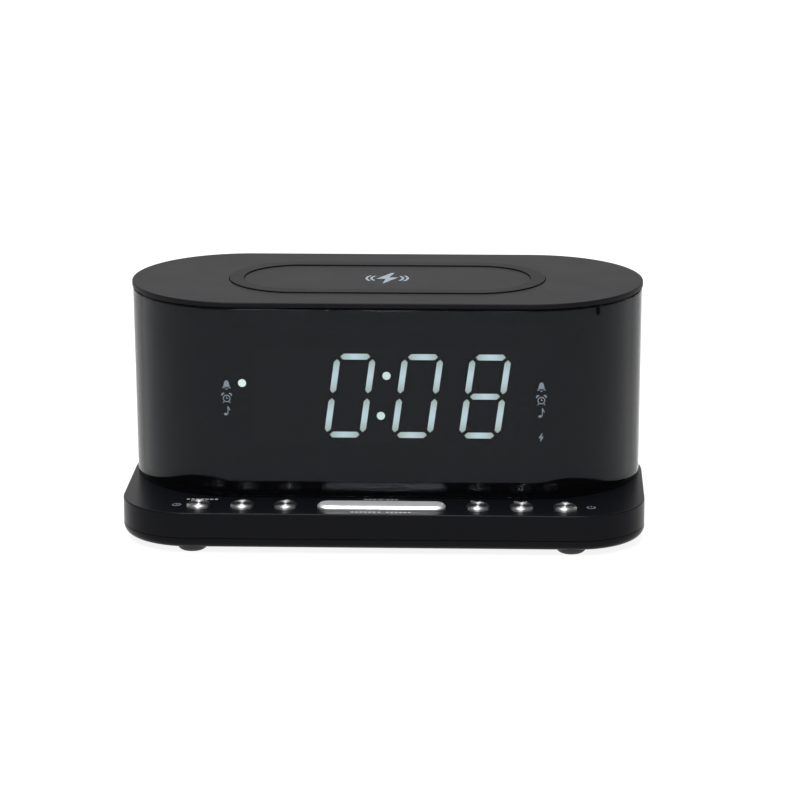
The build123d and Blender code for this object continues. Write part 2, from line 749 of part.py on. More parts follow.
with BuildPart() as snooze_key:
    with BuildSketch(Plane.XY.offset(key_flange_z)):
        with Locations((0, key_row_y)):
            SlotOverall(bar_length + 2 * key_flange, bar_width + 2 * key_flange)
    extrude(amount=key_flange_thickness)
    with BuildSketch(Plane.XY.offset(key_flange_top_z)):
        with Locations((0, key_row_y)):
            SlotOverall(bar_length, bar_width)
    extrude(amount=deck_z + bar_proud - key_flange_top_z)
    chamfer(snooze_key.edges().group_by(Axis.Z)[-1], bar_edge)
    with BuildSketch(Plane.XY.offset(plunger_top_z)):
        with Locations((0, key_row_y)):
            Circle(stem_diameter / 2)
    extrude(amount=key_flange_z - plunger_top_z)
snooze_key.part.label = "snooze_key"
export_step(snooze_key.part, "parts/snooze_key.step")

for key_name, x in zip(key_names + ["snooze"], switch_xs):
    with BuildPart() as plunger:
        with BuildSketch(Plane.XY.offset(switch_top_z - plunger_sunk)):
            with Locations((x, key_row_y)):
                Circle(plunger_diameter / 2)
        extrude(amount=plunger_sunk + plunger_proud)
    plunger.part.label = f"{key_name}_plunger"
    export_step(plunger.part, f"parts/{key_name}_plunger.step")

with BuildPart() as key_switches:
    with BuildSketch(Plane.XY.offset(key_board_top_z)):
        with Locations(*[(x, key_row_y) for x in switch_xs]):
            Rectangle(switch_size, switch_size)
    extrude(amount=switch_height)
    with BuildSketch(Plane.XY.offset(switch_top_z)):
        with Locations(*[(x, key_row_y) for x in switch_xs]):
            Circle(plunger_diameter / 2 + running_gap)
    extrude(amount=-(plunger_sunk + key_travel + fit_gap), mode=Mode.SUBTRACT)
key_switches.part.label = "key_switches"
export_step(key_switches.part, "parts/key_switches.step")

with BuildPart() as key_board:
    with BuildSketch(Plane.XY.offset(key_board_top_z)):
        with Locations((0, key_row_y - key_board_front)):
            Rectangle(key_board_length, key_board_depth, align=(Align.CENTER, Align.MIN))
        with Locations(*key_board_points):
            Circle(board_clearance, mode=Mode.SUBTRACT)
    extrude(amount=-key_board_thickness)
key_board.part.label = "key_board"
export_step(key_board.part, "parts/key_board.step")

# ------------------------------------------------------------------ display
slope = tan(radians(digit_slant))
bar_places = {
    "a": (0, digit_height / 2, False),
    "b": (digit_width / 2, digit_height / 4, True),
    "c": (digit_width / 2, -digit_height / 4, True),
    "d": (0, -digit_height / 2, False),
    "e": (-digit_width / 2, -digit_height / 4, True),
    "f": (-digit_width / 2, digit_height / 4, True),
    "g": (0, 0, False),
}


def segment(digit, letter):
    """The six corners of one slanted bar, in the plane of the display."""
    u, v, upright = bar_places[letter]
    length = (digit_height / 2 if upright else digit_width) - 2 * bar_gap
    half = length / 2
    t = bar_thickness / 2
    corners = [(-half, 0), (-half + t, t), (half - t, t), (half, 0), (half - t, -t), (-half + t, -t)]
    if upright:
        corners = [(y, x) for x, y in corners]
    left = display_x + (digit - 1.5) * digit_pitch
    return [(left + u + x + (v + y) * slope, display_z + v + y) for x, y in corners]


lit_bars = [(1, letter) for letter in "abcdef"] + [(2, letter) for letter in "abcdef"]
lit_bars += [(3, letter) for letter in "abcdefg"]
dark_bars = [(0, letter) for letter in "abcdefg"] + [(1, "g"), (2, "g")]
colon_points = [(display_x + side * colon_spacing / 2 * slope, display_z + side * colon_spacing / 2)
                for side in (-1, 1)]

with BuildPart() as lit_segments:
    with BuildSketch(at_y(module_front_y)):
        for digit, letter in lit_bars:
            Polygon(*segment(digit, letter), align=None)
    extrude(amount=-module_depth)
lit_segments.part.label = "lit_segments"
export_step(lit_segments.part, "parts/lit_segments.step")

with BuildPart() as dark_segments:
    with BuildSketch(at_y(module_front_y)):
        for digit, letter in dark_bars:
            Polygon(*segment(digit, letter), align=None)
    extrude(amount=-module_depth)
dark_segments.part.label = "dark_segments"
export_step(dark_segments.part, "parts/dark_segments.step")

with BuildPart() as colon_dots:
    with BuildSketch(at_y(module_front_y)):
        with Locations(*colon_points):
            Circle(colon_diameter / 2)
    extrude(amount=-module_depth)
colon_dots.part.label = "colon_dots"
export_step(colon_dots.part, "parts/colon_dots.step")

with BuildPart() as display_reflector:
    with BuildSketch(at_y(module_front_y)):
        with Locations((display_x, display_z)):
            Rectangle(module_length, module_height)
        for digit, letter in lit_bars + dark_bars:
            Polygon(*segment(digit, letter), align=None, mode=Mode.SUBTRACT)
        with Locations(*colon_points):
            Circle(colon_diameter / 2 + slip_gap, mode=Mode.SUBTRACT)
    extrude(amount=-module_depth)
display_reflector.part.label = "display_reflector"
export_step(display_reflector.part, "parts/display_reflector.step")

lamp_length = 1.6
lamp_width = 0.8
lamp_height = 1.0
guide_length = module_depth - lamp_height - fit_gap
with BuildPart() as lit_indicator:
    with BuildSketch(at_y(module_front_y)):
        with Locations(indicator_points[0]):
            Circle(indicator_diameter / 2)
    extrude(amount=-guide_length)
lit_indicator.part.label = "lit_indicator"
export_step(lit_indicator.part, "parts/lit_indicator.step")

with BuildPart() as dark_indicators:
    with BuildSketch(at_y(module_front_y)):
        with Locations(*indicator_points[1:]):
            Circle(indicator_diameter / 2)
    extrude(amount=-guide_length)
dark_indicators.part.label = "dark_indicators"
export_step(dark_indicators.part, "parts/dark_indicators.step")

with BuildPart() as indicator_lamps:
    with BuildSketch(at_y(display_board_y)):
        with Locations(*indicator_points):
            Rectangle(lamp_length, lamp_width)
    extrude(amount=lamp_height)
indicator_lamps.part.label = "indicator_lamps"
export_step(indicator_lamps.part, "parts/indicator_lamps.step")

with BuildPart() as display_board:
    with BuildSketch(at_y(display_board_y)):
        with Locations((display_x, display_z)):
            Rectangle(display_board_length, display_board_height)
        with Locations(*display_post_points):
            Circle(board_clearance, mode=Mode.SUBTRACT)
    extrude(amount=-board_thickness)
display_board.part.label = "display_board"
export_step(display_board.part, "parts/display_board.step")

# ------------------------------------------------------------------ main circuit board
with BuildPart() as main_board:
    with BuildSketch(Plane.XY.offset(board_z)):
        with Locations((0, board_front_y)):
            Rectangle(main_board_length, main_board_depth, align=(Align.CENTER, Align.MIN))
        with Locations(*main_board_points):
            Circle(board_clearance, mode=Mode.SUBTRACT)
    extrude(amount=board_thickness)
main_board.part.label = "main_board"
export_step(main_board.part, "parts/main_board.step")

# Chips: the clock, the tuner and the amplifier on the main board, the coil driver on the charger board
chip_and_cell = 34.0  # board depth that the clock chip's middle and the coin cell share
chip_places = [(-32.0, 12.0, 10.0), (-14.0, 10.0, 7.0), (2.0, chip_and_cell - cell_diameter, 6.0)]
chip_height = 1.5
charger_chip_xs = [-8.0, 9.0]
charger_chip_size = 7.0
charger_board_z = charger_board_top_z - charger_board_thickness
with BuildPart() as board_chips:
    with BuildSketch(Plane.XY.offset(board_top_z)):
        for x, back, size in chip_places:
            with Locations((x, board_front_y + back)):
                Rectangle(size, size)
    extrude(amount=chip_height)
    with BuildSketch(Plane.XY.offset(charger_board_z)):
        with Locations(*[(x, cabinet_y) for x in charger_chip_xs]):
            Rectangle(charger_chip_size, charger_chip_size)
    extrude(amount=-chip_height)
board_chips.part.label = "board_chips"
export_step(board_chips.part, "parts/board_chips.step")

capacitor_places = [(24.0, 16.0, 5.0, 11.0), (34.0, 17.0, 4.0, 9.0), (-40.0, 24.0, 3.0, 7.0)]
with BuildPart() as capacitors:
    for x, back, radius, height in capacitor_places:
        with BuildSketch(Plane.XY.offset(board_top_z)):
            with Locations((x, board_front_y + back)):
                Circle(radius)
        extrude(amount=height)
capacitors.part.label = "capacitors"
export_step(capacitors.part, "parts/capacitors.step")

# Flat leads: from the display and from the keys to the main board
lead_thickness = 0.6
lead_width = 12.0
lead_bend = 1.2
lead_out = 5.0  # how far the lead stands off the display board
lead_hop = 3.0  # how high it passes over the main board's edge
display_lead_z = display_z - display_board_height / 2 + lead_hop
lead_rise_z = board_top_z + lead_hop
lead_landing_y = board_front_y + 4.5
with BuildPart() as display_lead:
    with BuildSketch(Plane.YZ.offset(-lead_x)):
        with BuildLine():
            FilletPolyline(
                (display_board_back_y, display_lead_z),
                (display_board_back_y + lead_out, display_lead_z),
                (display_board_back_y + lead_out, lead_rise_z),
                (lead_landing_y, lead_rise_z),
                (lead_landing_y, board_top_z),
                radius=lead_bend,
            )
        trace(line_width=lead_thickness)
    extrude(amount=lead_width / 2, both=True)
display_lead.part.label = "display_lead"
export_step(display_lead.part, "parts/display_lead.step")

key_lead_y = key_row_y + 6.5
key_lead_z = key_board_top_z + 2.4
with BuildPart() as key_lead:
    with BuildSketch(Plane.YZ.offset(lead_x)):
        with BuildLine():
            FilletPolyline(
                (key_lead_y, key_board_top_z),
                (key_lead_y, key_lead_z),
                (lead_y, key_lead_z),
                (lead_y, lead_rise_z),
                (lead_landing_y, lead_rise_z),
                (lead_landing_y, board_top_z),
                radius=lead_bend,
            )
        trace(line_width=lead_thickness)
    extrude(amount=lead_width / 2, both=True)
key_lead.part.label = "key_lead"
export_step(key_lead.part, "parts/key_lead.step")

# ------------------------------------------------------------------ phone charger under the lid
with BuildPart() as coil_tray:
    with BuildSketch(Plane.XY.offset(coil_tray_z)):
        with Locations((0, cabinet_y)):
            Circle(coil_tray_radius)
    extrude(amount=coil_top_z - coil_tray_z)
    with BuildSketch(Plane.XY.offset(ferrite_z)):
        with Locations((0, cabinet_y)):
            Circle(coil_tray_radius - coil_tray_wall)
    extrude(amount=coil_top_z - ferrite_z, mode=Mode.SUBTRACT)
    with BuildSketch(Plane.XY.offset(coil_tray_z)):
        with Locations((0, cabinet_y)):
            SlotOverall(2 * coil_lug_radius + post_diameter, post_diameter)
            Circle(coil_tray_radius - coil_tray_wall, mode=Mode.SUBTRACT)
    extrude(amount=coil_lug_thickness)
    with BuildSketch(Plane.XY.offset(coil_tray_z)):
        with Locations(*charger_post_points):
            Circle(post_diameter / 2)
    extrude(amount=-charger_posts_height)
    with BuildSketch(Plane.XY.offset(coil_tray_z)):
        with Locations(*coil_lug_points):
            Circle(board_clearance)
    extrude(amount=coil_lug_thickness, mode=Mode.SUBTRACT)
    with BuildSketch(Plane.XY.offset(charger_board_top_z)):
        with Locations(*charger_post_points):
            Circle(board_pilot)
    extrude(amount=board_screw_length - charger_board_thickness + pilot_gap, mode=Mode.SUBTRACT)
coil_tray.part.label = "coil_tray"
export_step(coil_tray.part, "parts/coil_tray.step")

with BuildPart() as ferrite_sheet:
    with BuildSketch(Plane.XY.offset(ferrite_z)):
        with Locations((0, cabinet_y)):
            Circle(coil_diameter / 2)
    extrude(amount=ferrite_thickness)
ferrite_sheet.part.label = "ferrite_sheet"
export_step(ferrite_sheet.part, "parts/ferrite_sheet.step")

with BuildPart() as charging_coil:
    with BuildSketch(Plane.XY.offset(coil_z)):
        with Locations((0, cabinet_y)):
            Circle(coil_diameter / 2)
            Circle(coil_bore / 2, mode=Mode.SUBTRACT)
    extrude(amount=coil_thickness)
charging_coil.part.label = "charging_coil"
export_step(charging_coil.part, "parts/charging_coil.step")

with BuildPart() as charger_board:
    with BuildSketch(Plane.XY.offset(charger_board_z)):
        with Locations((0, cabinet_y)):
            Rectangle(charger_board_length, charger_board_depth)
        with Locations(*charger_post_points):
            Circle(board_clearance, mode=Mode.SUBTRACT)
    extrude(amount=charger_board_thickness)
charger_board.part.label = "charger_board"
export_step(charger_board.part, "parts/charger_board.step")

# ------------------------------------------------------------------ speaker
basket_wall = 1.0
basket_radius = cone_diameter / 2 + basket_wall
basket_foot_radius = magnet_diameter / 2
with BuildPart() as speaker_frame:
    with BuildSketch(at_y(speaker_front_y)):
        with Locations((0, speaker_z)):
            RectangleRounded(speaker_size, speaker_size, speaker_corner)
    extrude(amount=-speaker_flange)
    with BuildSketch(at_y(speaker_front_y)):
        with Locations((0, speaker_z)):
            Circle(basket_radius)
    with BuildSketch(at_y(speaker_front_y - basket_depth)):
        with Locations((0, speaker_z)):
            Circle(basket_foot_radius)
    loft()
    with BuildSketch(at_y(speaker_flange_back_y)):
        with Locations((0, speaker_z)):
            Circle(basket_radius - basket_wall)
    with BuildSketch(at_y(speaker_front_y - basket_depth + basket_wall)):
        with Locations((0, speaker_z)):
            Circle(basket_foot_radius - basket_wall)
    loft(mode=Mode.SUBTRACT)
    with BuildSketch(at_y(speaker_flange_back_y)):
        with Locations(*speaker_hole_points):
            Circle(board_clearance)
    extrude(amount=speaker_flange, mode=Mode.SUBTRACT)
speaker_frame.part.label = "speaker_frame"
export_step(speaker_frame.part, "parts/speaker_frame.step")

with BuildPart() as speaker_magnet:
    with BuildSketch(at_y(speaker_front_y - basket_depth)):
        with Locations((0, speaker_z)):
            Circle(magnet_diameter / 2)
    extrude(amount=magnet_height)
    chamfer(speaker_magnet.edges().filter_by(GeomType.CIRCLE), magnet_edge)
speaker_magnet.part.label = "speaker_magnet"
export_step(speaker_magnet.part, "parts/speaker_magnet.step")

# Cone, surround and dust cap turned about the speaker's own axis, which runs front to back
cone_neck_radius = 5.0
cone_wall = 0.5
cap_rise = 2.0
roll_width = 1.3
roll_rise = 0.6
roll_radius = cone_diameter / 2 - basket_wall - roll_width
roll_top_y = speaker_flange_back_y - 0.2
roll_foot_y = roll_top_y - roll_rise
cone_neck_y = speaker_flange_back_y - cone_depth
with BuildPart() as speaker_cone:
    with BuildSketch(Plane.XY) as cone_half:
        with BuildLine():
            Polyline(
                (0, cone_neck_y + cap_rise),
                (cone_neck_radius, cone_neck_y),
                (roll_radius - roll_width, roll_foot_y),
                (roll_radius, roll_top_y),
                (roll_radius + roll_width, roll_foot_y),
                (roll_radius + roll_width, roll_foot_y - cone_wall),
                (roll_radius, roll_top_y - cone_wall),
                (roll_radius - roll_width, roll_foot_y - cone_wall),
                (cone_neck_radius, cone_neck_y - cone_wall),
                (0, cone_neck_y + cap_rise - cone_wall),
                close=True,
            )
        make_face()
    revolve(axis=Axis.Y)
speaker_cone.part = speaker_cone.part.moved(Location((0, 0, speaker_z)))
speaker_cone.part.label = "speaker_cone"
export_step(speaker_cone.part, "parts/speaker_cone.step")

with BuildPart() as speaker_gasket:
    with BuildSketch(at_y(speaker_flange_back_y)):
        with Locations((0, speaker_z)):
            Circle(basket_radius + gasket_lap)
            Circle(basket_radius - basket_wall, mode=Mode.SUBTRACT)
        with Locations(*speaker_hole_points):
            Circle(post_diameter / 2 + fit_gap, mode=Mode.SUBTRACT)
    extrude(amount=-speaker_gasket_thickness)
speaker_gasket.part.label = "speaker_gasket"
export_step(speaker_gasket.part, "parts/speaker_gasket.step")

# ------------------------------------------------------------------ sockets
socket_face_y = rear_outer_y - fit_gap
with BuildPart() as adapter_jack:
    with BuildSketch(at_y(rear_inner_y - fit_gap)):
        with Locations((jack_x, jack_z)):
            Rectangle(jack_width, jack_height)
    extrude(amount=jack_depth - (socket_face_y - rear_inner_y))
    with BuildSketch(at_y(rear_inner_y - fit_gap)):
        with Locations((jack_x, jack_z)):
            Circle(jack_nose / 2)
    extrude(amount=-(socket_face_y - rear_inner_y + fit_gap))
    with BuildSketch(at_y(socket_face_y)):
        with Locations((jack_x, jack_z)):
            Circle(jack_bore / 2)
            Circle(jack_pin / 2, mode=Mode.SUBTRACT)
    extrude(amount=jack_depth - jack_end, mode=Mode.SUBTRACT)
adapter_jack.part.label = "adapter_jack"
export_step(adapter_jack.part, "parts/adapter_jack.step")

with BuildPart() as usb_socket:
    with BuildSketch(at_y(socket_face_y)):
        with Locations((usb_x, usb_z)):
            Rectangle(usb_width, usb_height)
    extrude(amount=usb_depth)
    with BuildSketch(at_y(socket_face_y)):
        with Locations((usb_x, usb_z)):
            Rectangle(usb_width - 2 * usb_shell, usb_height - 2 * usb_shell)
    extrude(amount=usb_depth - usb_end, mode=Mode.SUBTRACT)
    with BuildSketch(at_y(socket_face_y - usb_tongue_sunk)):
        with Locations((usb_x, usb_z + usb_height / 2 - usb_shell - usb_tongue_below)):
            Rectangle(usb_width - usb_tongue_narrower, usb_tongue, align=(Align.CENTER, Align.MAX))
    extrude(amount=usb_depth - usb_end)
usb_socket.part.label = "usb_socket"
export_step(usb_socket.part, "parts/usb_socket.step")

# Grommet that the aerial wire comes out of
gland_front_y = rear_inner_y - gland_flange - slip_gap
gland_length = rear_outer_y + gland_proud - gland_front_y
with BuildPart() as aerial_gland:
    with BuildSketch(at_y(gland_front_y)):
        with Locations((gland_x, gland_z)):
            Circle(gland_diameter / 2 - slip_gap)
    extrude(amount=-gland_length)
    with BuildSketch(at_y(gland_front_y)):
        with Locations((gland_x, gland_z)):
            Circle(gland_diameter / 2 + gland_lap)
    extrude(amount=-gland_flange)
    with BuildSketch(at_y(gland_front_y)):
        with Locations((gland_x, gland_z)):
            Circle(gland_bore / 2)
    extrude(amount=-gland_length, mode=Mode.SUBTRACT)
aerial_gland.part.label = "aerial_gland"
export_step(aerial_gland.part, "parts/aerial_gland.step")

# ------------------------------------------------------------------ back-up coin cell
cell_y = tray_face_y - tray_wall - cell_diameter / 2
cage_length = tray_length - tray_nose
with BuildPart() as cell_tray:
    with BuildSketch(Plane.XY.offset(tray_z)):
        with Locations((0, tray_face_y)):
            Rectangle(tray_width, tray_length, align=(Align.CENTER, Align.MAX))
    extrude(amount=tray_height)
    with BuildSketch(at_y(tray_face_y)):
        with Locations((0, tray_mid_z)):
            Rectangle(tray_face_width, tray_face_height)
    extrude(amount=-tray_face)
    with BuildSketch(at_y(tray_face_y + tray_face)):
        with Locations((0, tray_mid_z)):
            SlotOverall(tray_width / 2, tray_nib_height)
    extrude(amount=-tray_nib)
    with BuildSketch(Plane.XY.offset(tray_z + tray_floor)):
        with Locations((0, cell_y)):
            Circle(cell_diameter / 2 + slip_gap)
    extrude(amount=tray_height, mode=Mode.SUBTRACT)
    # hole in the floor for the lower contact
    with BuildSketch(Plane.XY.offset(tray_z)):
        with Locations((0, cell_y)):
            Circle(cell_diameter / 4)
    extrude(amount=tray_floor, mode=Mode.SUBTRACT)
cell_tray.part.label = "cell_tray"
export_step(cell_tray.part, "parts/cell_tray.step")

with BuildPart() as coin_cell:
    with BuildSketch(Plane.XY.offset(tray_z + tray_floor)):
        with Locations((0, cell_y)):
            Circle(cell_diameter / 2)
    extrude(amount=cell_height)
    chamfer(coin_cell.edges().group_by(Axis.Z)[0], cell_edge)
coin_cell.part.label = "coin_cell"
export_step(coin_cell.part, "parts/coin_cell.step")

cage_back_y = rear_inner_y - fit_gap
cage_outer_width = tray_width + 2 * running_gap + 2 * cage_wall
cage_outer_height = tray_height + 2 * running_gap + 2 * cage_wall
with BuildPart() as cell_cage:
    with BuildSketch(at_y(cage_back_y)):
        with Locations((0, tray_mid_z)):
            Rectangle(cage_outer_width, cage_outer_height)
            Rectangle(
                tray_width + 2 * running_gap, tray_height + 2 * running_gap, mode=Mode.SUBTRACT
            )
    extrude(amount=cage_length)
cell_cage.part.label = "cell_cage"
export_step(cell_cage.part, "parts/cell_cage.step")

# Two spring strips let into the roof and floor of the cage
contact_width = 4.0
contact_thickness = 0.3
contact_inset = 2.0
contact_tail = 3.0
with BuildPart() as cell_contacts:
    with BuildSketch(Plane.XY.offset(board_top_z + cage_outer_height)):
        with Locations((0, cage_back_y - cage_length / 2)):
            Rectangle(contact_width, cage_length - 2 * contact_inset)
    extrude(amount=contact_thickness)
    with BuildSketch(Plane.XY.offset(board_top_z)):
        with Locations((0, cage_back_y - cage_length)):
            Rectangle(contact_width, contact_tail, align=(Align.CENTER, Align.MAX))
    extrude(amount=contact_thickness)
cell_contacts.part.label = "cell_contacts"
export_step(cell_contacts.part, "parts/cell_contacts.step")

# ------------------------------------------------------------------ screws
case_screw = screw(case_screw_head, case_screw_head_height, case_screw_diameter, case_screw_length)
cover_screw_head_height = cover_thickness / 2 - slip_gap
short_case_screw = screw(case_screw_head, cover_screw_head_height, case_screw_diameter, case_screw_length)
board_screw = screw(board_screw_head, board_screw_head_height, board_screw_diameter, board_screw_length)
head_down = (180, 0, 0)

# Two screws up into the lid and two up into each cabinet half, at both ends
with BuildPart() as case_screws:
    with Locations(*[Location((x, y, column_top_z - column_web), head_down)
                     for x, y in front_columns + rear_columns]):
        add(case_screw)
    with Locations(*[Location((x, y, deck_under_z), head_down)
                     for x, y in front_deck_bosses + rear_deck_bosses]):
        add(case_screw)
case_screws.part.label = "case_screws"
export_step(case_screws.part, "parts/case_screws.step")

with BuildPart() as cover_screws:
    with Locations(*[Location((x, y, cover_z + cover_thickness / 2), head_down)
                     for x, y in cover_screw_points]):
        add(short_case_screw)
cover_screws.part.label = "cover_screws"
export_step(cover_screws.part, "parts/cover_screws.step")

with BuildPart() as board_screws:
    with Locations(*[Location((x, y, board_top_z)) for x, y in main_board_points]):
        add(board_screw)
    with Locations(*[Location((x, y, key_board_top_z - key_board_thickness), head_down)
                     for x, y in key_board_points]):
        add(board_screw)
    with Locations(*[Location((x, y, charger_board_z), head_down) for x, y in charger_post_points]):
        add(board_screw)
    with Locations(*[Location((x, y, coil_tray_z), head_down) for x, y in coil_lug_points]):
        add(board_screw)
    with Locations(*[Location((x, display_board_back_y, z), (-90, 0, 0)) for x, z in display_post_points]):
        add(board_screw)
    with Locations(*[Location((x, speaker_front_y, z), (90, 0, 0)) for x, z in speaker_hole_points]):
        add(board_screw)
board_screws.part.label = "board_screws"
export_step(board_screws.part, "parts/board_screws.step")
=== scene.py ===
# %% [markdown]
# # A bedside clock radio that charges a phone
# The clock is a flat-lidded cabinet with round ends, standing on a low plinth that carries the keys. The case, the
# boards and the moving keys are already worked out as solid parts, and they come in as a fixed frame. This lesson
# gives them their looks: it swaps the pieces that the eye rests on for finer meshes, gives every surface a finish
# made of nodes, and sets up the light and the camera. All lengths are in metres, so a millimetre is named first.

# %% Load the frame
import bmesh
import bpy
import json
import math
from mathutils import Matrix, Vector


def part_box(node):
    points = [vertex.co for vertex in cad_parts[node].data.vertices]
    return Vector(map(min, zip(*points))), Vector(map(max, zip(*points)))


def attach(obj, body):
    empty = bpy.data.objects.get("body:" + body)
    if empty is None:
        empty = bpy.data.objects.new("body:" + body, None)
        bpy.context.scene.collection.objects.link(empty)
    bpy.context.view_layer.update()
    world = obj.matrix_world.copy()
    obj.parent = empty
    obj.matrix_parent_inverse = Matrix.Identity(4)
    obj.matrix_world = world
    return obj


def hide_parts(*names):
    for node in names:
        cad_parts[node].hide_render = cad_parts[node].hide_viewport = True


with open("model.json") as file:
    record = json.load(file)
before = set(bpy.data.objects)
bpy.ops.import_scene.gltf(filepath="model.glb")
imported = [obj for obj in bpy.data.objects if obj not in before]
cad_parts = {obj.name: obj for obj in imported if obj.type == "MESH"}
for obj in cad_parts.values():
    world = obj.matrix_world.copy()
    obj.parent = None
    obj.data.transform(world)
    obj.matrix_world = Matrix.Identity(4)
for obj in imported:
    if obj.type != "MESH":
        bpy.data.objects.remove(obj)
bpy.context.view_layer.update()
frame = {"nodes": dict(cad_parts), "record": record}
mm = 0.001
nodes = frame["nodes"]

# %% [markdown]
# ## Shader maths that reads like maths
# A finish is a sum of patterns: grain plus smudges, or a mask that fades a colour. Wiring that by hand hides the
# idea, so one small class wraps a socket and lets it be added, multiplied and subtracted like a number. Each
# operation leaves a Math node behind. Every other node comes from a single method that takes the node's type, its
# settings and what goes into its sockets.

# %% A socket that can be added and multiplied
class Flow:
    def __init__(self, tree, socket):
        self.tree = tree
        self.socket = socket

    def maths(self, operation, first, second):
        node = self.tree.nodes.new("ShaderNodeMath")
        node.operation = operation
        for place, value in enumerate((first, second)):
            if isinstance(value, Flow):
                self.tree.links.new(value.socket, node.inputs[place])
            else:
                node.inputs[place].default_value = value
        return Flow(self.tree, node.outputs[0])

    def __add__(self, other):
        return self.maths("ADD", self, other)

    def __sub__(self, other):
        return self.maths("SUBTRACT", self, other)

    def __rsub__(self, other):
        return self.maths("SUBTRACT", other, self)

    def __mul__(self, other):
        return self.maths("MULTIPLY", self, other)

    __radd__ = __add__
    __rmul__ = __mul__


# %% A finish and the one method that adds a node to it
class Finish:
    def __init__(self, name):
        self.material = bpy.data.materials.new(name)
        self.material.use_nodes = True
        self.tree = self.material.node_tree
        self.shader = self.tree.nodes["Principled BSDF"]
        self.place = self.node("TexCoord", output="Object")

    def node(self, kind, settings=None, inputs=None, output=0):
        made = self.tree.nodes.new("ShaderNode" + kind)
        for key, value in (settings or {}).items():
            if key == "stops":
                ramp = made.color_ramp
                while len(ramp.elements) < len(value):
                    ramp.elements.new(0.5)
                for element, (at, colour) in zip(ramp.elements, value):
                    element.position = at
                    element.color = (*colour, 1.0)
            else:
                setattr(made, key, value)
        self.feed(made, inputs or {})
        return Flow(self.tree, made.outputs[output])

    def feed(self, made, inputs):
        for key, value in inputs.items():
            if isinstance(value, Flow):
                self.tree.links.new(value.socket, made.inputs[key])
            else:
                made.inputs[key].default_value = value

    def surface(self, **inputs):
        self.feed(self.shader, {key.replace("_", " "): value for key, value in inputs.items()})
        return self.material

    def speckle(self, size, detail=2.0, stretch=(1.0, 1.0, 1.0)):
        """Noise from 0 to 1 whose spots are about this many metres across."""
        place = self.place
        if stretch != (1.0, 1.0, 1.0):
            place = self.node("VectorMath", {"operation": "MULTIPLY"}, {0: self.place, 1: stretch})
        return self.node("TexNoise", {}, {"Vector": place, "Scale": 1.0 / size, "Detail": detail})

    def tint(self, mask, low, high):
        return self.node("Mix", {"data_type": "RGBA"}, {0: mask, 6: (*low, 1.0), 7: (*high, 1.0)}, output=2)

    def relief(self, height, depth):
        return self.node("Bump", {}, {"Height": height, "Strength": 1.0, "Distance": depth}, output="Normal")


print("shader helpers ready")

# %% [markdown]
# ## Moulded plastic
# The tool that moulds a plastic part is spark-eroded, which leaves a fine random grain on the part: shallow pits a
# quarter of a millimetre apart. The grain breaks up reflections, so it goes into the normal, and a slow change of
# roughness stands for handling. One recipe with different numbers makes every plain moulding, rubber and board.

# %% A recipe for moulded and coated surfaces
def moulded(name, colour, roughness, grain=0.25 * mm, depth=0.004 * mm, mottle=0.15, **plain):
    finish = Finish(name)
    pits = finish.speckle(grain, detail=1.0)
    smears = finish.speckle(16 * mm, detail=3.0)
    dust = finish.speckle(1.1 * mm, detail=4.0)
    light = [min(1.0, c * (1 + mottle)) for c in colour]
    dark = [c * (1 - mottle) for c in colour]
    return finish.surface(
        Base_Color=finish.tint(smears * 0.6 + dust * 0.4, dark, light),
        Roughness=roughness - 0.05 + smears * 0.07 + pits * 0.03,
        Normal=finish.relief(pits, depth),
        **plain,
    )


# %% The case's plastics and rubbers
lid_coat = moulded("lid_coat", (0.0038, 0.0038, 0.0046), 0.5, grain=0.22 * mm, depth=0.003 * mm,
                   Specular_IOR_Level=0.1, Specular_Tint=(0.93, 0.92, 1.0, 1.0))
ring_coat = moulded("ring_coat", (0.0032, 0.0032, 0.0038), 0.52, grain=0.2 * mm, depth=0.003 * mm,
                    Specular_IOR_Level=0.08)
case_plastic = moulded("case_plastic", (0.0034, 0.0036, 0.0048), 0.3, grain=0.3 * mm, depth=0.002 * mm,
                       Specular_IOR_Level=0.06)
foot_rubber = moulded("foot_rubber", (0.008, 0.008, 0.008), 0.62, grain=0.35 * mm, depth=0.008 * mm)
print("case finishes:", [m.name for m in (lid_coat, ring_coat, case_plastic, foot_rubber)])

# %% [markdown]
# ## Smoked acrylic
# The front is a dark transparent moulding, polished like a mirror. It hides all that is behind it except the lit
# bars. Each of its two faces lets part of the light through, so a plain alpha on a black glossy surface does both
# jobs. Past the widest part of the round ends the line of sight runs along the wall, through much more acrylic, so
# the alpha rises to one there. A faint change of roughness is the haze that a cloth leaves behind.

# %% The smoked front
acrylic = Finish("smoked_acrylic")
haze = acrylic.speckle(22 * mm, detail=4.0)
specks = acrylic.speckle(0.8 * mm, detail=2.0)
depth = acrylic.node("SeparateXYZ", {}, {"Vector": acrylic.place}, output="Y")
clear = acrylic.node("MapRange", {"interpolation_type": "SMOOTHSTEP"},
                     {"Value": depth, 1: -2 * mm, 2: 6 * mm, 3: 0.6, 4: 1.0})
smoked = acrylic.surface(
    Base_Color=acrylic.tint(haze, (0.0016, 0.0017, 0.0022), (0.0026, 0.0027, 0.0034)),
    Roughness=0.008 + haze * 0.02 + specks * 0.004,
    Alpha=clear,
    IOR=1.33,
    Specular_Tint=(0.86, 0.92, 1.0, 1.0),
)
print("smoked acrylic, alpha 0.6 a face in front of the display")

# %% [markdown]
# ## Spun and brushed metal
# The round keys are capped with aluminium that was turned against a tool, so its scratches run in circles and the
# light on it spreads into a bow tie. The bar key is brushed along its length instead. Anisotropy on the shader
# gives the spread, with a mesh that has true fine rings, and stretched noise gives the bar its brush lines.

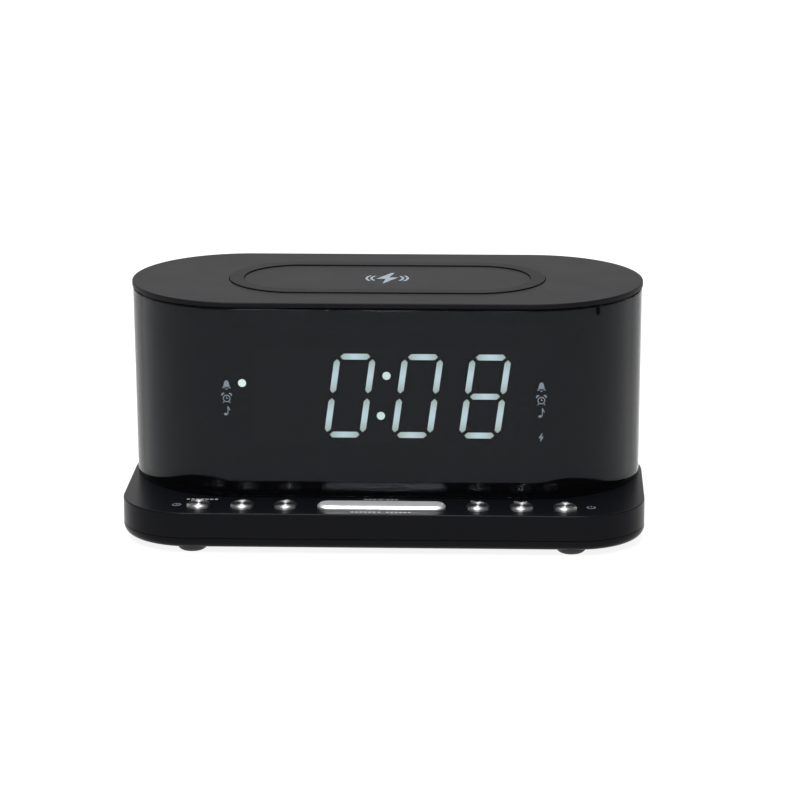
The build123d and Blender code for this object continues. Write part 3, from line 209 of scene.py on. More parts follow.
# %% Metal finishes
def turned_metal():
    finish = Finish("turned_metal")
    wear = finish.speckle(0.6 * mm, detail=4.0)
    return finish.surface(
        Base_Color=finish.tint(wear, (0.4, 0.4, 0.41), (0.5, 0.5, 0.51)),
        Metallic=1.0,
        Roughness=0.42 + wear * 0.08,
        Anisotropic=0.85,
        Anisotropic_Rotation=0.25,
    )


def brushed_metal():
    finish = Finish("brushed_metal")
    lines = finish.speckle(0.12 * mm, detail=3.0, stretch=(0.02, 1.0, 1.0))
    clouds = finish.speckle(5 * mm, detail=3.0)
    return finish.surface(
        Base_Color=finish.tint(lines * 0.5 + clouds * 0.5, (0.86, 0.87, 0.89), (0.96, 0.96, 0.97)),
        Metallic=1.0,
        Roughness=0.44 + lines * 0.1,
        Normal=finish.relief(lines, 0.004 * mm),
    )


key_metal = turned_metal()
bar_metal = brushed_metal()
print("metals:", key_metal.name, bar_metal.name)

# %% [markdown]
# ## The light of the display
# A lit bar is a white diffuser with a lamp behind it. It glows most over the lamp and fades towards the tips, and
# the plastic has a faint milky grain. The colour is a cold white, and it is made stronger than it should look,
# because it is seen through the smoked front.

# %% Lit and unlit diffusers
def glowing(name, colour, tip, strength):
    finish = Finish(name)
    milk = finish.speckle(1.6 * mm, detail=3.0)
    far = finish.node("Attribute", {"attribute_name": "far"}, output="Fac")
    lamp = finish.tint(far, colour, tip)
    dim = finish.node("Mix", {"data_type": "RGBA", "blend_type": "MULTIPLY"},
                      {0: 0.16 * milk, 6: lamp, 7: (0.0, 0.0, 0.0, 1.0)}, output=2)
    return finish.surface(
        Base_Color=(0.3, 0.32, 0.33, 1.0),
        Roughness=0.5,
        Emission_Color=dim,
        Emission_Strength=strength,
    )


lit_bar = glowing("lit_bar", (0.72, 0.93, 1.0), (0.44, 0.56, 0.5), 4.3)
lit_dot = glowing("lit_dot", (0.84, 1.0, 0.93), (0.84, 1.0, 0.93), 5.6)
lit_colon = glowing("lit_colon", (0.8, 1.0, 0.96), (0.8, 1.0, 0.96), 4.7)
dark_bar = moulded("dark_bar", (0.004, 0.004, 0.004), 0.5)
reflector = moulded("reflector", (0.003, 0.003, 0.003), 0.6)
print("display finishes ready")

# %% [markdown]
# ## Finishes for what is inside
# Most of the inner parts only show when the clock is taken apart, but each still has its own stuff: green solder
# resist, copper wire, pressed steel, black paper. They all go by the material slot that the record gives each
# part, so one table of finishes dresses the whole frame.

# %% Dress the frame by slot
inner_plastic = moulded("inner_plastic", (0.004, 0.004, 0.0042), 0.5, depth=0.0005 * mm, Specular_IOR_Level=0.2)
steel = moulded("plated_steel", (0.5, 0.5, 0.51), 0.3, grain=0.15 * mm, depth=0.002 * mm, Metallic=1.0)
black_steel = moulded("black_steel", (0.06, 0.06, 0.062), 0.36, grain=0.15 * mm, depth=0.002 * mm, Metallic=1.0)
by_slot = {
    "lid_plastic": lid_coat,
    "ring_rubber": ring_coat,
    "smoked_acrylic": smoked,
    "black_plastic": case_plastic,
    "inner_plastic": inner_plastic,
    "foot_rubber": foot_rubber,
    "key_metal": key_metal,
    "plunger_plastic": moulded("plunger_plastic", (0.5, 0.5, 0.47), 0.45),
    "switch_plastic": moulded("switch_plastic", (0.01, 0.01, 0.01), 0.5),
    "board_laminate": moulded("board_laminate", (0.012, 0.11, 0.04), 0.35, grain=0.5 * mm, depth=0.01 * mm),
    "mask_print": moulded("mask_print", (0.002, 0.002, 0.002), 0.4, depth=0.0003 * mm, Specular_IOR_Level=0.2),
    "reflector_black": reflector,
    "lit_diffuser": lit_bar,
    "dark_diffuser": dark_bar,
    "lamp_body": moulded("lamp_body", (0.7, 0.68, 0.45), 0.3),
    "chip_black": moulded("chip_black", (0.012, 0.012, 0.012), 0.55, grain=0.1 * mm),
    "capacitor_can": moulded("capacitor_can", (0.05, 0.06, 0.12), 0.35),
    "lead_film": moulded("lead_film", (0.42, 0.42, 0.4), 0.5),
    "coil_copper": moulded("coil_copper", (0.55, 0.2, 0.07), 0.3, grain=0.4 * mm, depth=0.02 * mm, Metallic=1.0),
    "ferrite_grey": moulded("ferrite_grey", (0.05, 0.05, 0.052), 0.6),
    "basket_steel": black_steel,
    "magnet_ferrite": moulded("magnet_ferrite", (0.05, 0.05, 0.052), 0.55),
    "cone_paper": moulded("cone_paper", (0.012, 0.012, 0.012), 0.8, grain=0.5 * mm, depth=0.04 * mm),
    "gasket_foam": moulded("gasket_foam", (0.015, 0.015, 0.015), 0.9, grain=0.5 * mm, depth=0.05 * mm),
    "jack_plastic": moulded("jack_plastic", (0.006, 0.006, 0.006), 0.4),
    "socket_steel": steel,
    "gland_rubber": foot_rubber,
    "cell_steel": steel,
    "contact_spring": moulded("contact_spring", (0.75, 0.55, 0.22), 0.3, Metallic=1.0),
    "screw_steel": black_steel,
    "label_paper": moulded("label_paper", (0.42, 0.42, 0.43), 0.5, grain=0.4 * mm, depth=0.002 * mm, mottle=0.05),
}
slot_of = {part["node"]: part["material_slot"] for part in frame["record"]["subparts"]}


def dress(piece, finish):
    piece.data.materials.clear()
    piece.data.materials.append(finish)


for part_name, part in nodes.items():
    dress(part, by_slot[slot_of[part_name]])
dress(nodes["lit_indicator"], lit_dot)
dress(nodes["colon_dots"], lit_colon)
print(len(by_slot), "finishes on", len(nodes), "parts")

# %% [markdown]
# ## Sections swept round a plan
# The lid, the ring and the smoked front are all the same kind of shape: a small section carried round an outline
# with round ends. A modelling program could bevel a solid, but a swept section gives even faces and lets each edge
# have its own softness. A section is written as corners with a radius, in millimetres: how far inside the outline,
# and how high.

# %% Soften the corners of a section
def soften(corners, closed=True, steps=5, guard=0.03):
    """Points of a section whose corners (inset, height, radius) are rounded, with guard points beside each round."""
    points = []
    count = len(corners)
    for i, (inset, height, radius) in enumerate(corners):
        here = Vector((inset, height))
        if radius == 0 or (not closed and i in (0, count - 1)):
            points.append(here)
            continue
        back = (Vector(corners[i - 1][:2]) - here).normalized()
        on = (Vector(corners[(i + 1) % count][:2]) - here).normalized()
        half = back.angle(on) / 2
        reach = radius / math.tan(half)
        centre = here + (back + on).normalized() * radius / math.sin(half)
        first = here + back * reach - centre
        last = here + on * reach - centre
        turn = first.angle_signed(last)
        points.append(here + back * (reach + guard))
        for k in range(steps + 1):
            points.append(centre + Matrix.Rotation(-turn * k / steps, 2) @ first)
        points.append(here + on * (reach + guard))
    return [(p.x * mm, p.y * mm) for p in points]


print("a square with soft corners has", len(soften([(0, 0, 0.2), (2, 0, 0.2), (2, 2, 0.2), (0, 2, 0.2)])), "points")

# %% [markdown]
# ## Outlines seen from above
# An outline is a function of how far inside it you draw, so the same call gives the outer edge and the inner wall.
# All its loops have the same number of points, which lets any two be joined by a strip of four-sided faces. Short
# guard steps beside each arc keep the shading of the flat sides flat.

# %% Outlines with round corners
def outline(lo, hi, front_radius, back_radius, steps=36, guard=0.4 * mm):
    """A function of inset that gives the points of a rounded rectangle, anticlockwise from the left."""
    corners = [
        (lo.x + front_radius, lo.y + front_radius, front_radius, 180),
        (hi.x - front_radius, lo.y + front_radius, front_radius, 270),
        (hi.x - back_radius, hi.y - back_radius, back_radius, 0),
        (lo.x + back_radius, hi.y - back_radius, back_radius, 90),
    ]

    def at(inset):
        points = []
        for x, y, radius, start in corners:
            r = radius - inset
            for k in range(steps + 1):
                a = math.radians(start + 90 * k / steps)
                points.append((x + r * math.cos(a), y + r * math.sin(a)))
                if k == steps and start in (180, 0):
                    side = guard if start == 180 else -guard
                    points.append((points[-1][0] + side, points[-1][1]))
                if k == 0 and start in (270, 90):
                    side = -guard if start == 270 else guard
                    points.insert(-1, (points[-1][0] + side, points[-1][1]))
        return points

    return at


def wrap(lo, hi, radius, split_y, steps=60, guard=0.4 * mm):
    """As outline, but an open path round the front only, from split_y on the left to split_y on the right."""
    middle_y = lo.y + radius
    left, right = lo.x + radius, hi.x - radius

    def at(inset):
        r = radius - inset
        past = math.asin((split_y - middle_y) / r)
        sweep = [math.pi - past + (math.pi / 2 + past) * k / steps for k in range(steps + 1)]
        arc = [(left + r * math.cos(a), middle_y + r * math.sin(a)) for a in sweep]
        side = [(left + guard, middle_y - r)]
        return arc + side + [(left + right - x, y) for x, y in reversed(arc + side)]

    return at


print("outlines ready")

# %% [markdown]
# ## Turning loops into a mesh
# A skin joins loop to loop. The last step is the same for every piece: merge doubled points, face outwards, shade
# smooth but keep true edges, take a finish, ride on a body and stand for the part it replaces.

# %% Skin and finish a piece
def keep(name, shape, finish, body="cabinet", stands_for=(), slot=None, sharp=38):
    bmesh.ops.remove_doubles(shape, verts=shape.verts, dist=1e-7)
    bmesh.ops.recalc_face_normals(shape, faces=shape.faces)
    mesh = bpy.data.meshes.new(name)
    shape.to_mesh(mesh)
    shape.free()
    mesh.shade_smooth()
    mesh.set_sharp_from_angle(angle=math.radians(sharp))
    piece = bpy.data.objects.new(name, mesh)
    bpy.context.scene.collection.objects.link(piece)
    dress(piece, finish)
    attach(piece, body)
    if stands_for:
        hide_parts(*stands_for)
    slot or slot_of[stands_for[0]]
    print(name, len(mesh.vertices), "points,", len(mesh.polygons), "faces")
    return piece


def skin(shape, loops, round_path=True, close_section=False, caps=True):
    """Joins loops of points, each a list of (x, y, z), with strips of faces."""
    rows = [[shape.verts.new(p) for p in loop] for loop in loops]
    pairs = list(zip(rows, rows[1:] + (rows[:1] if close_section else [])))
    if not close_section:
        pairs = pairs[:len(rows) - 1]
    count = len(rows[0])
    for a, b in pairs:
        for j in range(count if round_path else count - 1):
            k = (j + 1) % count
            shape.faces.new((a[j], a[k], b[k], b[j]))
    if caps and close_section:
        for j in (0, -1):
            shape.faces.new([row[j] for row in rows])
    elif caps:
        shape.faces.new(rows[0])
        shape.faces.new(rows[-1])
    return rows


def swept(section, path):
    """The loops of a section carried round an outline."""
    return [[(x, y, z) for x, y in path(inset)] for inset, z in section]


print("mesh helpers ready")

# %% [markdown]
# ## The smoked front
# One moulding wraps the front and both ends and leans out by a third of a degree, so that it leaves its mould. Its
# top edge has a radius that catches a thin line of light under the lid. A small notch beside the right end takes a
# tool when the lid is lifted off, and it is cut out with a boolean.

# %% Sweep the smoked front
lid_lo, lid_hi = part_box("top_cover")
front_lo, front_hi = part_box("smoked_front")
lean_angle = math.radians(0.33)
wall = 2.0
end_radius = (lid_hi.y - lid_lo.y) / 2
end_x = lid_hi.x - end_radius
middle_y = (lid_lo.y + lid_hi.y) / 2
deck_z, front_top_z = front_lo.z / mm, front_hi.z / mm
top_inset = (lid_hi.x - front_hi.x) / mm
foot_inset = top_inset + (front_top_z - deck_z) * math.tan(lean_angle)
front_section = soften([
    (foot_inset, deck_z, 0.15),
    (foot_inset + wall, deck_z, 0.15),
    (foot_inset + wall, front_top_z, 0.2),
    (top_inset, front_top_z, 0.45),
])
front_path = wrap(lid_lo, lid_hi, end_radius, front_hi.y)
front_shape = bmesh.new()
skin(front_shape, swept(front_section, front_path), round_path=False, close_section=True)
front_piece = keep("front_shell", front_shape, smoked, stands_for=("smoked_front",))

# %% Cut the notch for lifting the lid
notch_past_end = 23.7 * mm  # how far beyond the start of the right-hand curve
notch_x = end_x + notch_past_end
notch_width, notch_height = 1.5 * mm, 3.2 * mm
cutter_reach = 6 * mm  # well through the wall on both sides
notch_y = middle_y - math.sqrt((end_radius - foot_inset * mm) ** 2 - (notch_x - end_x) ** 2)
cutter_shape = bmesh.new()
bmesh.ops.create_cube(cutter_shape, size=1.0, matrix=Matrix.Translation((notch_x, notch_y, front_hi.z))
                      @ Matrix.Diagonal((notch_width, cutter_reach, 2 * notch_height, 1.0)))
cutter_mesh = bpy.data.meshes.new("notch_cutter")
cutter_shape.to_mesh(cutter_mesh)
cutter_shape.free()
cutter = bpy.data.objects.new("notch_cutter", cutter_mesh)
bpy.context.scene.collection.objects.link(cutter)
cut = front_piece.modifiers.new("notch", "BOOLEAN")
cut.object = cutter
cut.solver = "EXACT"
bpy.context.view_layer.update()
cut_mesh = bpy.data.meshes.new_from_object(front_piece.evaluated_get(bpy.context.evaluated_depsgraph_get()))
front_piece.modifiers.clear()
front_piece.data = cut_mesh
bpy.data.objects.remove(cutter)
print("front shell with its notch:", len(cut_mesh.polygons), "faces")

# %% [markdown]
# ## The lid and its soft ring
# The lid is a thin plate with an eased edge, and a groove that the soft ring is pressed into. Carrying one section
# round the outside and then stepping over to the ring's own outline keeps it a single mesh. The ring stands just
# under half a millimetre proud with small round shoulders, and the hair gap either side of it draws two dark lines.

# %% Lid
ring_lo, ring_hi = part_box("grip_ring")
ring_radius = (ring_hi.y - ring_lo.y) / 2
shadow_gap = 0.6  # between the smoked front and the lid
lid_z = front_top_z + shadow_gap
lid_top = lid_hi.z / mm
groove_floor = ring_lo.z / mm
ring_width = 5.2
gap = 0.2
lid_path = outline(lid_lo, lid_hi, end_radius, end_radius)
ring_path = outline(ring_lo, ring_hi, ring_radius, ring_radius)
edge_section = soften([
    (12, lid_z, 0), (0, lid_z, 0.2), (0, lid_top, 0.45), (1.5, lid_top, 0),
], closed=False)
groove_section = soften([
    (-1.5, lid_top, 0), (-gap, lid_top, 0.12), (-gap, groove_floor, 0.1),
    (ring_width + gap, groove_floor, 0.1), (ring_width + gap, lid_top, 0.12), (ring_width + 1.5, lid_top, 0),
], closed=False, steps=3, guard=0.02)
lid_shape = bmesh.new()
skin(lid_shape, swept(edge_section, lid_path) + swept(groove_section, ring_path))
keep("lid", lid_shape, lid_coat, stands_for=("top_cover",))

# %% Soft ring
ring_section = soften([
    (0, groove_floor + 0.02, 0.1), (ring_width, groove_floor + 0.02, 0.1),
    (ring_width, ring_hi.z / mm, 0.2), (0, ring_hi.z / mm, 0.2),
], steps=6, guard=0.05)
ring_shape = bmesh.new()
skin(ring_shape, swept(ring_section, ring_path), close_section=True, caps=False)
keep("soft_ring", ring_shape, ring_coat, stands_for=("grip_ring",))

# %% [markdown]
# ## Lit bars with a fading glow
# One lamp sits behind the middle of each bar, so the bar is brightest there and dimmer and greener at its tips. The
# part's own bars are copied and sliced across, and each slice stores how far it is from the lamp. The finish reads
# that number.

# %% Slice the bars and store the distance from the lamp
def islands(shape):
    """Each loose piece as a list of its vertices, in the same order every run, which a set would not give."""
    left = dict.fromkeys(shape.verts)
    while left:
        start = next(iter(left))
        del left[start]
        found, ends = [], [start]
        while ends:
            vert = ends.pop()
            found.append(vert)
            for edge in vert.link_edges:
                other = edge.other_vert(vert)
                if other in left:
                    del left[other]
                    ends.append(other)
        yield found


def sliced_bars(node, slices=14, slant=8.0):
    source = bmesh.new()
    source.from_mesh(nodes[node].data)
    bmesh.ops.remove_doubles(source, verts=source.verts, dist=1e-6)
    glow = source.verts.layers.float.new("far")
    for verts in list(islands(source)):
        wide = max(v.co.x for v in verts) - min(v.co.x for v in verts)
        high = max(v.co.z for v in verts) - min(v.co.z for v in verts)
        turn = math.radians(slant)
        along = Vector((math.sin(turn), 0, math.cos(turn))) if high > wide else Vector((1, 0, 0))
        across = Vector((0, 0, 1)) if high > wide else along
        reach = [v.co.dot(across) for v in verts]
        middle, half = (max(reach) + min(reach)) / 2, (max(reach) - min(reach)) / 2
        edges = dict.fromkeys(e for v in verts for e in v.link_edges)
        faces = dict.fromkeys(f for v in verts for f in v.link_faces)
        geometry = list(verts) + list(edges) + list(faces)
        for k in range(1, slices):
            spot = across * (middle + half * (2 * k / slices - 1))
            geometry = bmesh.ops.bisect_plane(source, geom=geometry, plane_co=spot, plane_no=across)["geom"]
        for item in geometry:
            if isinstance(item, bmesh.types.BMVert):
                item[glow] = min(1.0, abs(item.co.dot(across) - middle) / half) ** 1.6
    return source


keep("lit_bars", sliced_bars("lit_segments"), lit_bar, stands_for=("lit_segments",), sharp=30)

# %% [markdown]
# ## Keys
# A round key is turned in real life, so it is turned here: a profile spun round its own axis. Its face is flat, has a
# rounded shoulder and carries rings a sixth of a millimetre apart, cut into the mesh, which spread the light as the
# real tool marks do. The bar key is a swept section with a wide bevel and a brushed top.

# %% Round keys
def turned(shape, profile, x, y, steps=96):
    loops = [[(x + r * math.cos(2 * math.pi * k / steps), y + r * math.sin(2 * math.pi * k / steps), z)
              for k in range(steps)] for r, z in profile]
    skin(shape, loops)


key_radius, key_stem_radius, key_shoulder = 4.15 * mm, 1.7 * mm, 0.7 * mm
flange_lift, flange_thickness = 0.3, 0.8  # both in millimetres, shared by the round keys and the bar key
ring_count, ring_cut = 20, 0.004 * mm


def key_profile(lo, hi):
    """From the flange up the side, over the rounded shoulder and in across the ringed face."""
    flange_radius = (hi.x - lo.x) / 2
    top = hi.z
    under = lo.z + flange_lift * mm
    flange_top = under + flange_thickness * mm
    profile = [(key_stem_radius, under), (flange_radius, under), (flange_radius, flange_top), (key_radius, flange_top)]
    for k in range(9):
        a = math.radians(90 * k / 8)
        profile.append((key_radius - key_shoulder * (1 - math.cos(a)), top - key_shoulder * (1 - math.sin(a))))
    face = key_radius - key_shoulder - 0.05 * mm
    for k in range(ring_count * 2):
        at = face * (1 - k / (ring_count * 2))
        profile.append((at, top - (ring_cut if k % 2 else 0)))
    return profile


for key in ("time", "down", "up", "alarm_one", "alarm_two", "power"):
    node = f"{key}_key"
    lo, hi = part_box(node)
    shape = bmesh.new()
    turned(shape, key_profile(lo, hi), (lo.x + hi.x) / 2, (lo.y + hi.y) / 2)
    keep(f"{key}_cap", shape, key_metal, body=f"{key}_button", stands_for=(node,), sharp=50)

# %% Bar key
bar_lo, bar_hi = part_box("snooze_key")
bar_flange, bar_bevel = 1.2, 0.75
flange = Vector((bar_flange * mm, bar_flange * mm, 0))
bar_lo, bar_hi = bar_lo + flange, bar_hi - flange
bar_radius = (bar_hi.y - bar_lo.y) / 2
under, top = bar_lo.z / mm + flange_lift, bar_hi.z / mm
bar_section = soften([
    (2.5, under, 0), (-bar_flange, under, 0.1),
    (-bar_flange, under + flange_thickness, 0.1), (0, under + flange_thickness, 0),
    (0, top - bar_bevel, 0.12), (bar_bevel, top, 0.12), (2.2, top, 0), (3.4, top, 0),
], closed=False, steps=3, guard=0.02)
bar_shape = bmesh.new()
skin(bar_shape, swept(bar_section, outline(bar_lo, bar_hi, bar_radius, bar_radius, steps=16, guard=0.1 * mm)))
keep("bar_cap", bar_shape, bar_metal, body="snooze_button", stands_for=("snooze_key",))

# %% [markdown]
# ## Feet
# Each foot is a soft button glued into a shallow seat, with a wide round between its flat bottom and its side.

# %% Four feet
foot_round = 2.37
foot_middle = 2.2  # where the flat bottom's middle disc starts
for foot in ("front_left_foot", "front_right_foot", "rear_left_foot", "rear_right_foot"):
    lo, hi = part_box(foot)
    wide = (hi.x - lo.x) / 2
    corners = [(foot_middle, lo.z / mm, 0), (wide / mm, lo.z / mm, foot_round), (wide / mm, hi.z / mm, 0)]
    profile = soften(corners, closed=False, steps=14, guard=0.02)
    shape = bmesh.new()
    turned(shape, profile, (lo.x + hi.x) / 2, (lo.y + hi.y) / 2, steps=64)
    keep(foot.replace("_foot", "_pad"), shape, foot_rubber, stands_for=(foot,))

# %% [markdown]
# ## Printed marks
# The small signs on the smoked front, the deck and the lid are printed. Flat two-dimensional curves are the quick
# way to draw them: an outline filled with colour, with inner outlines as holes. Each drawing is turned into a mesh
# and laid on its surface a few hundredths of a millimetre proud, like a coat of ink. The signs are generic ones: a
# bell, an alarm clock, a note, a spark for charging.

# %% Ink and the drawing helper
def ink(name, colour):
    finish = Finish(name)
    patches = finish.speckle(0.35 * mm, detail=3.0)
    faint = [c * 0.75 for c in colour]
    return finish.surface(Base_Color=finish.tint(patches, faint, colour), Roughness=0.5 + patches * 0.1)


grey_ink = ink("grey_ink", (0.17, 0.21, 0.25))
pale_ink = ink("pale_ink", (0.3, 0.3, 0.31))


def drawing(outlines):
    """Flat faces from closed outlines of (x, y) in millimetres; an outline inside another is a hole."""
    curve = bpy.data.curves.new("drawing", "CURVE")
    curve.dimensions = "2D"
    curve.fill_mode = "BOTH"
    for points in outlines:
        line = curve.splines.new("POLY")
        line.points.add(len(points) - 1)
        for place, (x, y) in zip(line.points, points):
            place.co = (x, y, 0, 1)
        line.use_cyclic_u = True
    holder = bpy.data.objects.new("drawing", curve)
    mesh = bpy.data.meshes.new_from_object(holder)
    bpy.data.objects.remove(holder)
    bpy.data.curves.remove(curve)
    shape = bmesh.new()
    shape.from_mesh(mesh)
    bpy.data.meshes.remove(mesh)
    return shape


def arc(x, y, radius, start=0, end=360, steps=28, squash=1.0):
    whole = end - start == 360
    return [(x + radius * math.cos(math.radians(start + (end - start) * k / steps)),
             y + squash * radius * math.sin(math.radians(start + (end - start) * k / steps)))
            for k in range(steps if whole else steps + 1)]


def band(x, y, radius, width, start, end, steps=24):
    """A curved stroke: out along one arc and back along the other."""
    return arc(x, y, radius + width / 2, start, end, steps) + arc(x, y, radius - width / 2, start, end, steps)[::-1]


def bar(x, y, length, width, angle=0.0):
    c, s = math.cos(math.radians(angle)), math.sin(math.radians(angle))
    return [(x + u * c - v * s, y + u * s + v * c) for u, v in
            ((-length / 2, -width / 2), (length / 2, -width / 2), (length / 2, width / 2), (-length / 2, width / 2))]


bell_sign = [
    [(-1.0, -0.75)] + [(-0.78 * math.cos(math.radians(a)), 0.1 + 1.15 * math.sin(math.radians(a)))
                       for a in range(0, 181, 12)] + [(1.0, -0.75)],
    bar(0, -1.05, 2.6, 0.28),
    arc(0, -1.32, 0.34, 180, 360, 10),
]
clock_sign = [
    arc(0, -0.1, 1.15), arc(0, -0.1, 0.88)[::-1],
    [(-0.1, -0.2), (0.5, -0.2), (0.5, 0.0), (0.1, 0.0), (0.1, 0.6), (-0.1, 0.6)],
    band(-1.0, 1.0, 0.42, 0.42, 50, 220, 10), band(1.0, 1.0, 0.42, 0.42, -40, 130, 10),
    bar(-0.95, -1.3, 0.55, 0.24, 50), bar(0.95, -1.3, 0.55, 0.24, 130),
]
note_sign = [
    arc(-0.35, -1.1, 0.52, squash=0.75),
    [(0.2, -1.05), (0.42, -1.05), (0.42, 0.55), (0.95, -0.05), (1.0, 0.35), (0.42, 1.45), (0.2, 1.45)],
]
spark_sign = [[(0.25, 1.5), (-0.85, -0.15), (-0.12, -0.15), (-0.3, -1.5), (0.85, 0.3), (0.1, 0.3), (0.5, 1.5)]]
print("signs drawn with", sum(len(s) for s in (bell_sign, clock_sign, note_sign, spark_sign)), "outlines")

# %% [markdown]
# ## Signs on the smoked front
# The signs stand beside the display in two columns. The column centres lie just past the point where the front
# starts to curve, so each point of a sign is pushed back onto the curved and leaning surface.

# %% Print on the front
proud = 0.02 * mm
display_lo, display_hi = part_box("display_reflector")
display_z = (display_lo.z + display_hi.z) / 2


def front_y(x, z):
    lean = (front_top_z * mm - z) * math.tan(lean_angle)
    r = end_radius - top_inset * mm - lean
    past = max(0.0, abs(x) - end_x)
    return middle_y - math.sqrt(r * r - past * past)


def print_on_front(name, sign, x, z, scale):
    shape = drawing(sign)
    bmesh.ops.triangulate(shape, faces=shape.faces)
    for v in shape.verts:
        px, pz = x + v.co.x * scale * mm, z + v.co.y * scale * mm
        v.co = Vector((px, front_y(px, pz) - proud, pz))
    keep(name, shape, grey_ink, slot="mask_print")


left_column_x, right_column_x = -53.9, 54.8
charge_drop = 13.9
column = {"bell": (bell_sign, 4.4), "clock": (clock_sign, -0.5), "note": (note_sign, -5.0)}
for side, x in (("left", left_column_x), ("right", right_column_x)):
    for sign_name, (sign, rise) in column.items():
        print_on_front(f"{side}_{sign_name}_sign", sign, x * mm, display_z + rise * mm, 1.15)
print_on_front("charge_sign", spark_sign, right_column_x * mm, display_z - charge_drop * mm, 1.1)

# %% [markdown]
# ## Signs on the deck and the lid
# On the deck a tiny sign beside each key says what it does: a clock face, minus and plus, one bell stroke and two,
# the usual power ring. A sun over the bar key dims the light, and a moon under it puts the alarm to sleep, each in a
# row of plain ticks. The lid carries a large spark between two pairs of waves, where the phone goes.

# %% Print on the deck
key_lo, key_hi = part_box("time_key")
row_y = (key_lo.y + key_hi.y) / 2 / mm
deck_top_z = front_lo.z


def print_flat(name, sign, x, y, z, finish=grey_ink):
    shape = drawing(sign)
    bmesh.ops.triangulate(shape, faces=shape.faces)
    for v in shape.verts:
        v.co = Vector((x * mm + v.co.x * mm, y * mm + v.co.y * mm, z + proud))
    keep(name, shape, finish, slot="mask_print")


clock_hands = [(-0.12, -0.12), (0.8, -0.12), (0.8, 0.12), (0.12, 0.12), (0.12, 1.0), (-0.12, 1.0)]
face_sign = [arc(0, 0, 1.5), arc(0, 0, 1.22)[::-1], clock_hands]
power_sign = [band(0, 0, 1.35, 0.3, 120, 420), bar(0, 1.1, 0.3, 1.5)]
time_sign_x, power_sign_x = -71.0, 72.2
print_flat("time_sign", face_sign, time_sign_x, row_y + 1.1, deck_top_z)
print_flat("power_sign", power_sign, power_sign_x, row_y + 1.6, deck_top_z)
print("deck signs beside the row at y", round(row_y, 2), "mm")

# %% Tiny signs above and below the keys
above = row_y + 7.7
below = row_y - 6.0
alarm_ring = [arc(-1.9, 0, 0.75), arc(-1.9, 0, 0.45)[::-1]]
first_stroke, second_stroke = bar(0.6, 0, 0.4, 1.4), bar(1.6, 0, 0.4, 1.4)
key_labels = {
    "time_label": [bar(-4.4 + 1.62 * k, 0, 1.1, 1.2) for k in range(7)],
    "down_label": [bar(0.0, 0, 1.7, 0.4)],
    "up_label": [bar(0.0, 0, 1.7, 0.4), bar(0.0, 0.62, 0.4, 0.7), bar(0.0, -0.62, 0.4, 0.7)],
    "alarm_one_label": alarm_ring + [first_stroke],
    "alarm_two_label": alarm_ring + [first_stroke, second_stroke],
    "power_label": [bar(0, 0, 2.4, 0.45)],
}
for label, strokes in key_labels.items():
    lo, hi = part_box(label.replace("label", "key"))
    print_flat(label, strokes, (lo.x + hi.x) / 2 / mm, above, deck_top_z, finish=pale_ink)
sun = [arc(0, 0, 0.5)] + [bar(1.0 * math.cos(a), 1.0 * math.sin(a), 0.45, 0.2, math.degrees(a))
                         for a in (2 * math.pi * k / 8 for k in range(8))]
moon = arc(0, 0, 0.95, 60, 300, 20) + arc(0.42, 0, 0.84, 285, 75, 20)


def ticks(per_side):
    return [bar(side * (2.3 + 1.5 * k), 0, 1.0, 1.2) for side in (-1, 1) for k in range(per_side)]


print_flat("dimmer_label", ticks(3) + sun, -0.6, above + 1.2, deck_top_z, finish=pale_ink)
print_flat("sleep_label", ticks(6) + [moon], 0, below, deck_top_z, finish=pale_ink)

# %% Charging mark on the lid
charge_mark = [
    [(1.1, 8.6), (-3.9, -0.9), (-0.55, -0.9), (-1.3, -8.6), (3.9, 1.5), (0.55, 1.5), (2.3, 8.6)],
    band(0, 0, 5.6, 0.85, 140, 220), band(0, 0, 5.6, 0.85, -40, 40),
    band(0, 0, 7.3, 0.85, 145, 215), band(0, 0, 7.3, 0.85, -35, 35),
]
print_flat("charging_mark", charge_mark, 0, middle_y / mm - 0.8, lid_hi.z)

# %% [markdown]
# ## Floor, light and camera
# The clock stands on a pale paper sweep: a floor that curves up behind. The paper gives off light of its own, which
# keeps it white and fills the shadows, with the help of a dim surround. One soft box hangs overhead, so that its
# reflection slides along the rounded edges, and another stands in front and above for the keys and the deck. The lens
# is a long one, from above eye level, so the clock's sides stay almost parallel.

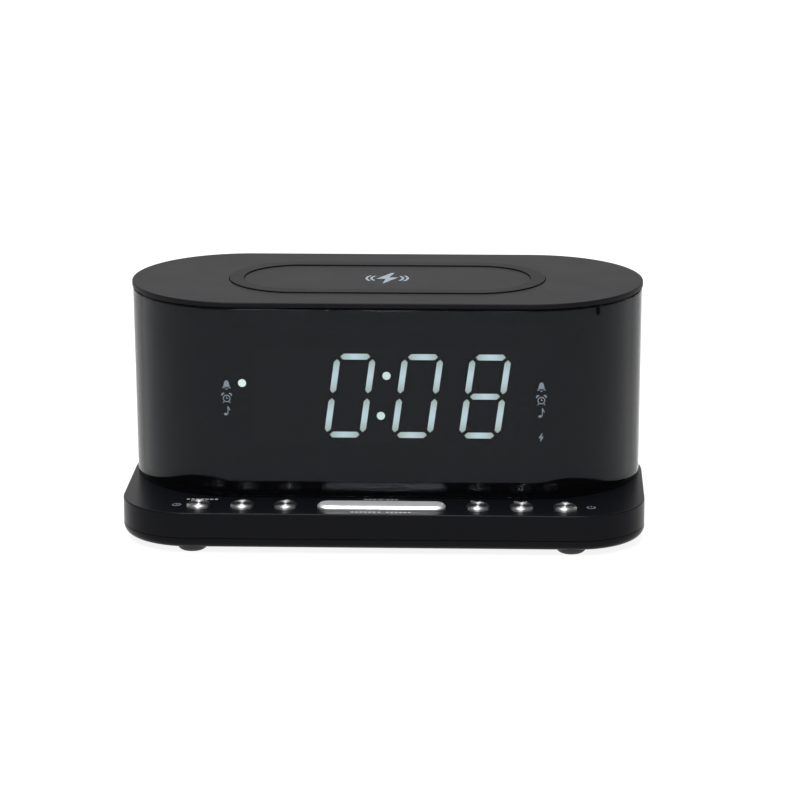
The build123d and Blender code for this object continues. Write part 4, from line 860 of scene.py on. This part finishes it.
# %% Pale sweep
def sweep():
    shape = bmesh.new()
    half, back, bend, wall_top = 4.0, 2.6, 1.2, 4.0
    under_feet = 0.1 * mm  # just clear of the rubber, so the two never flicker
    rows = []
    profile = [(-4.0, 0.0), (-1.0, 0.0), (0.0, 0.0), (1.0, 0.0)]
    profile += [(back - bend + bend * math.sin(a), bend - bend * math.cos(a))
                for a in (math.radians(90) * k / 24 for k in range(25))]
    profile += [(back, wall_top)]
    for y, z in profile:
        rows.append([shape.verts.new((x * half, y, z - under_feet)) for x in (-1, 0, 1)])
    for a, b in zip(rows, rows[1:]):
        for k in (0, 1):
            shape.faces.new((a[k], a[k + 1], b[k + 1], b[k]))
    mesh = bpy.data.meshes.new("sweep")
    shape.to_mesh(mesh)
    shape.free()
    mesh.shade_smooth()
    piece = bpy.data.objects.new("sweep", mesh)
    bpy.context.scene.collection.objects.link(piece)
    paper = Finish("sweep_paper")
    fibres = paper.speckle(2 * mm, detail=4.0)
    dress(piece, paper.surface(
        Base_Color=paper.tint(fibres, (0.2, 0.2, 0.2), (0.22, 0.22, 0.22)),
        Roughness=0.9,
        Emission_Color=(1.0, 1.0, 1.0, 1.0),
        Emission_Strength=0.88,
    ))


sweep()
print("sweep laid")

# %% Lights
def soft_box(name, place, aim, size, power):
    lamp = bpy.data.lights.new(name, "AREA")
    lamp.shape = "RECTANGLE"
    lamp.size, lamp.size_y = size
    lamp.energy = power
    holder = bpy.data.objects.new(name, lamp)
    holder.location = place
    holder.rotation_euler = (Vector(aim) - Vector(place)).to_track_quat("-Z", "Y").to_euler()
    bpy.context.scene.collection.objects.link(holder)


box_power = 10.0
soft_box("overhead_box", place=(-0.05, 0.0, 0.9), aim=(0, 0, 0.0), size=(0.4, 0.5), power=box_power)
soft_box("front_box", place=(-0.1, -0.9, 0.9), aim=(0, 0, 0.05), size=(0.5, 0.25), power=box_power)
world = bpy.data.worlds.new("surround")
world.use_nodes = True
surround = world.node_tree.nodes["Background"]
surround.inputs["Color"].default_value = (1.0, 1.0, 1.0, 1.0)
surround.inputs["Strength"].default_value = 0.3
bpy.context.scene.world = world
bpy.context.scene.view_settings.view_transform = "Standard"

# %% Camera
lens = bpy.data.cameras.new("camera")
lens.sensor_width = 36.0
lens.lens = 143.07
lens.shift_x = -0.0364
lens.shift_y = -0.0260
lens.clip_start, lens.clip_end = 0.01, 20.0
camera = bpy.data.objects.new("camera", lens)
yaw, pitch, roll = -0.03491, 0.25442, -0.00172
stand = Vector((0.053096, -1.088934, 0.333451))
forward = Vector((math.sin(yaw) * math.cos(pitch), math.cos(yaw) * math.cos(pitch), -math.sin(pitch)))
level = Vector((math.cos(yaw), -math.sin(yaw), 0.0))
upright = level.cross(forward)
right = math.cos(roll) * level + math.sin(roll) * upright
up = math.cos(roll) * upright - math.sin(roll) * level
camera.matrix_world = Matrix((
    (right.x, up.x, -forward.x, stand.x),
    (right.y, up.y, -forward.y, stand.y),
    (right.z, up.z, -forward.z, stand.z),
    (0, 0, 0, 1),
))
bpy.context.scene.collection.objects.link(camera)
bpy.context.scene.camera = camera
print("camera at", [round(c, 3) for c in camera.matrix_world.translation])
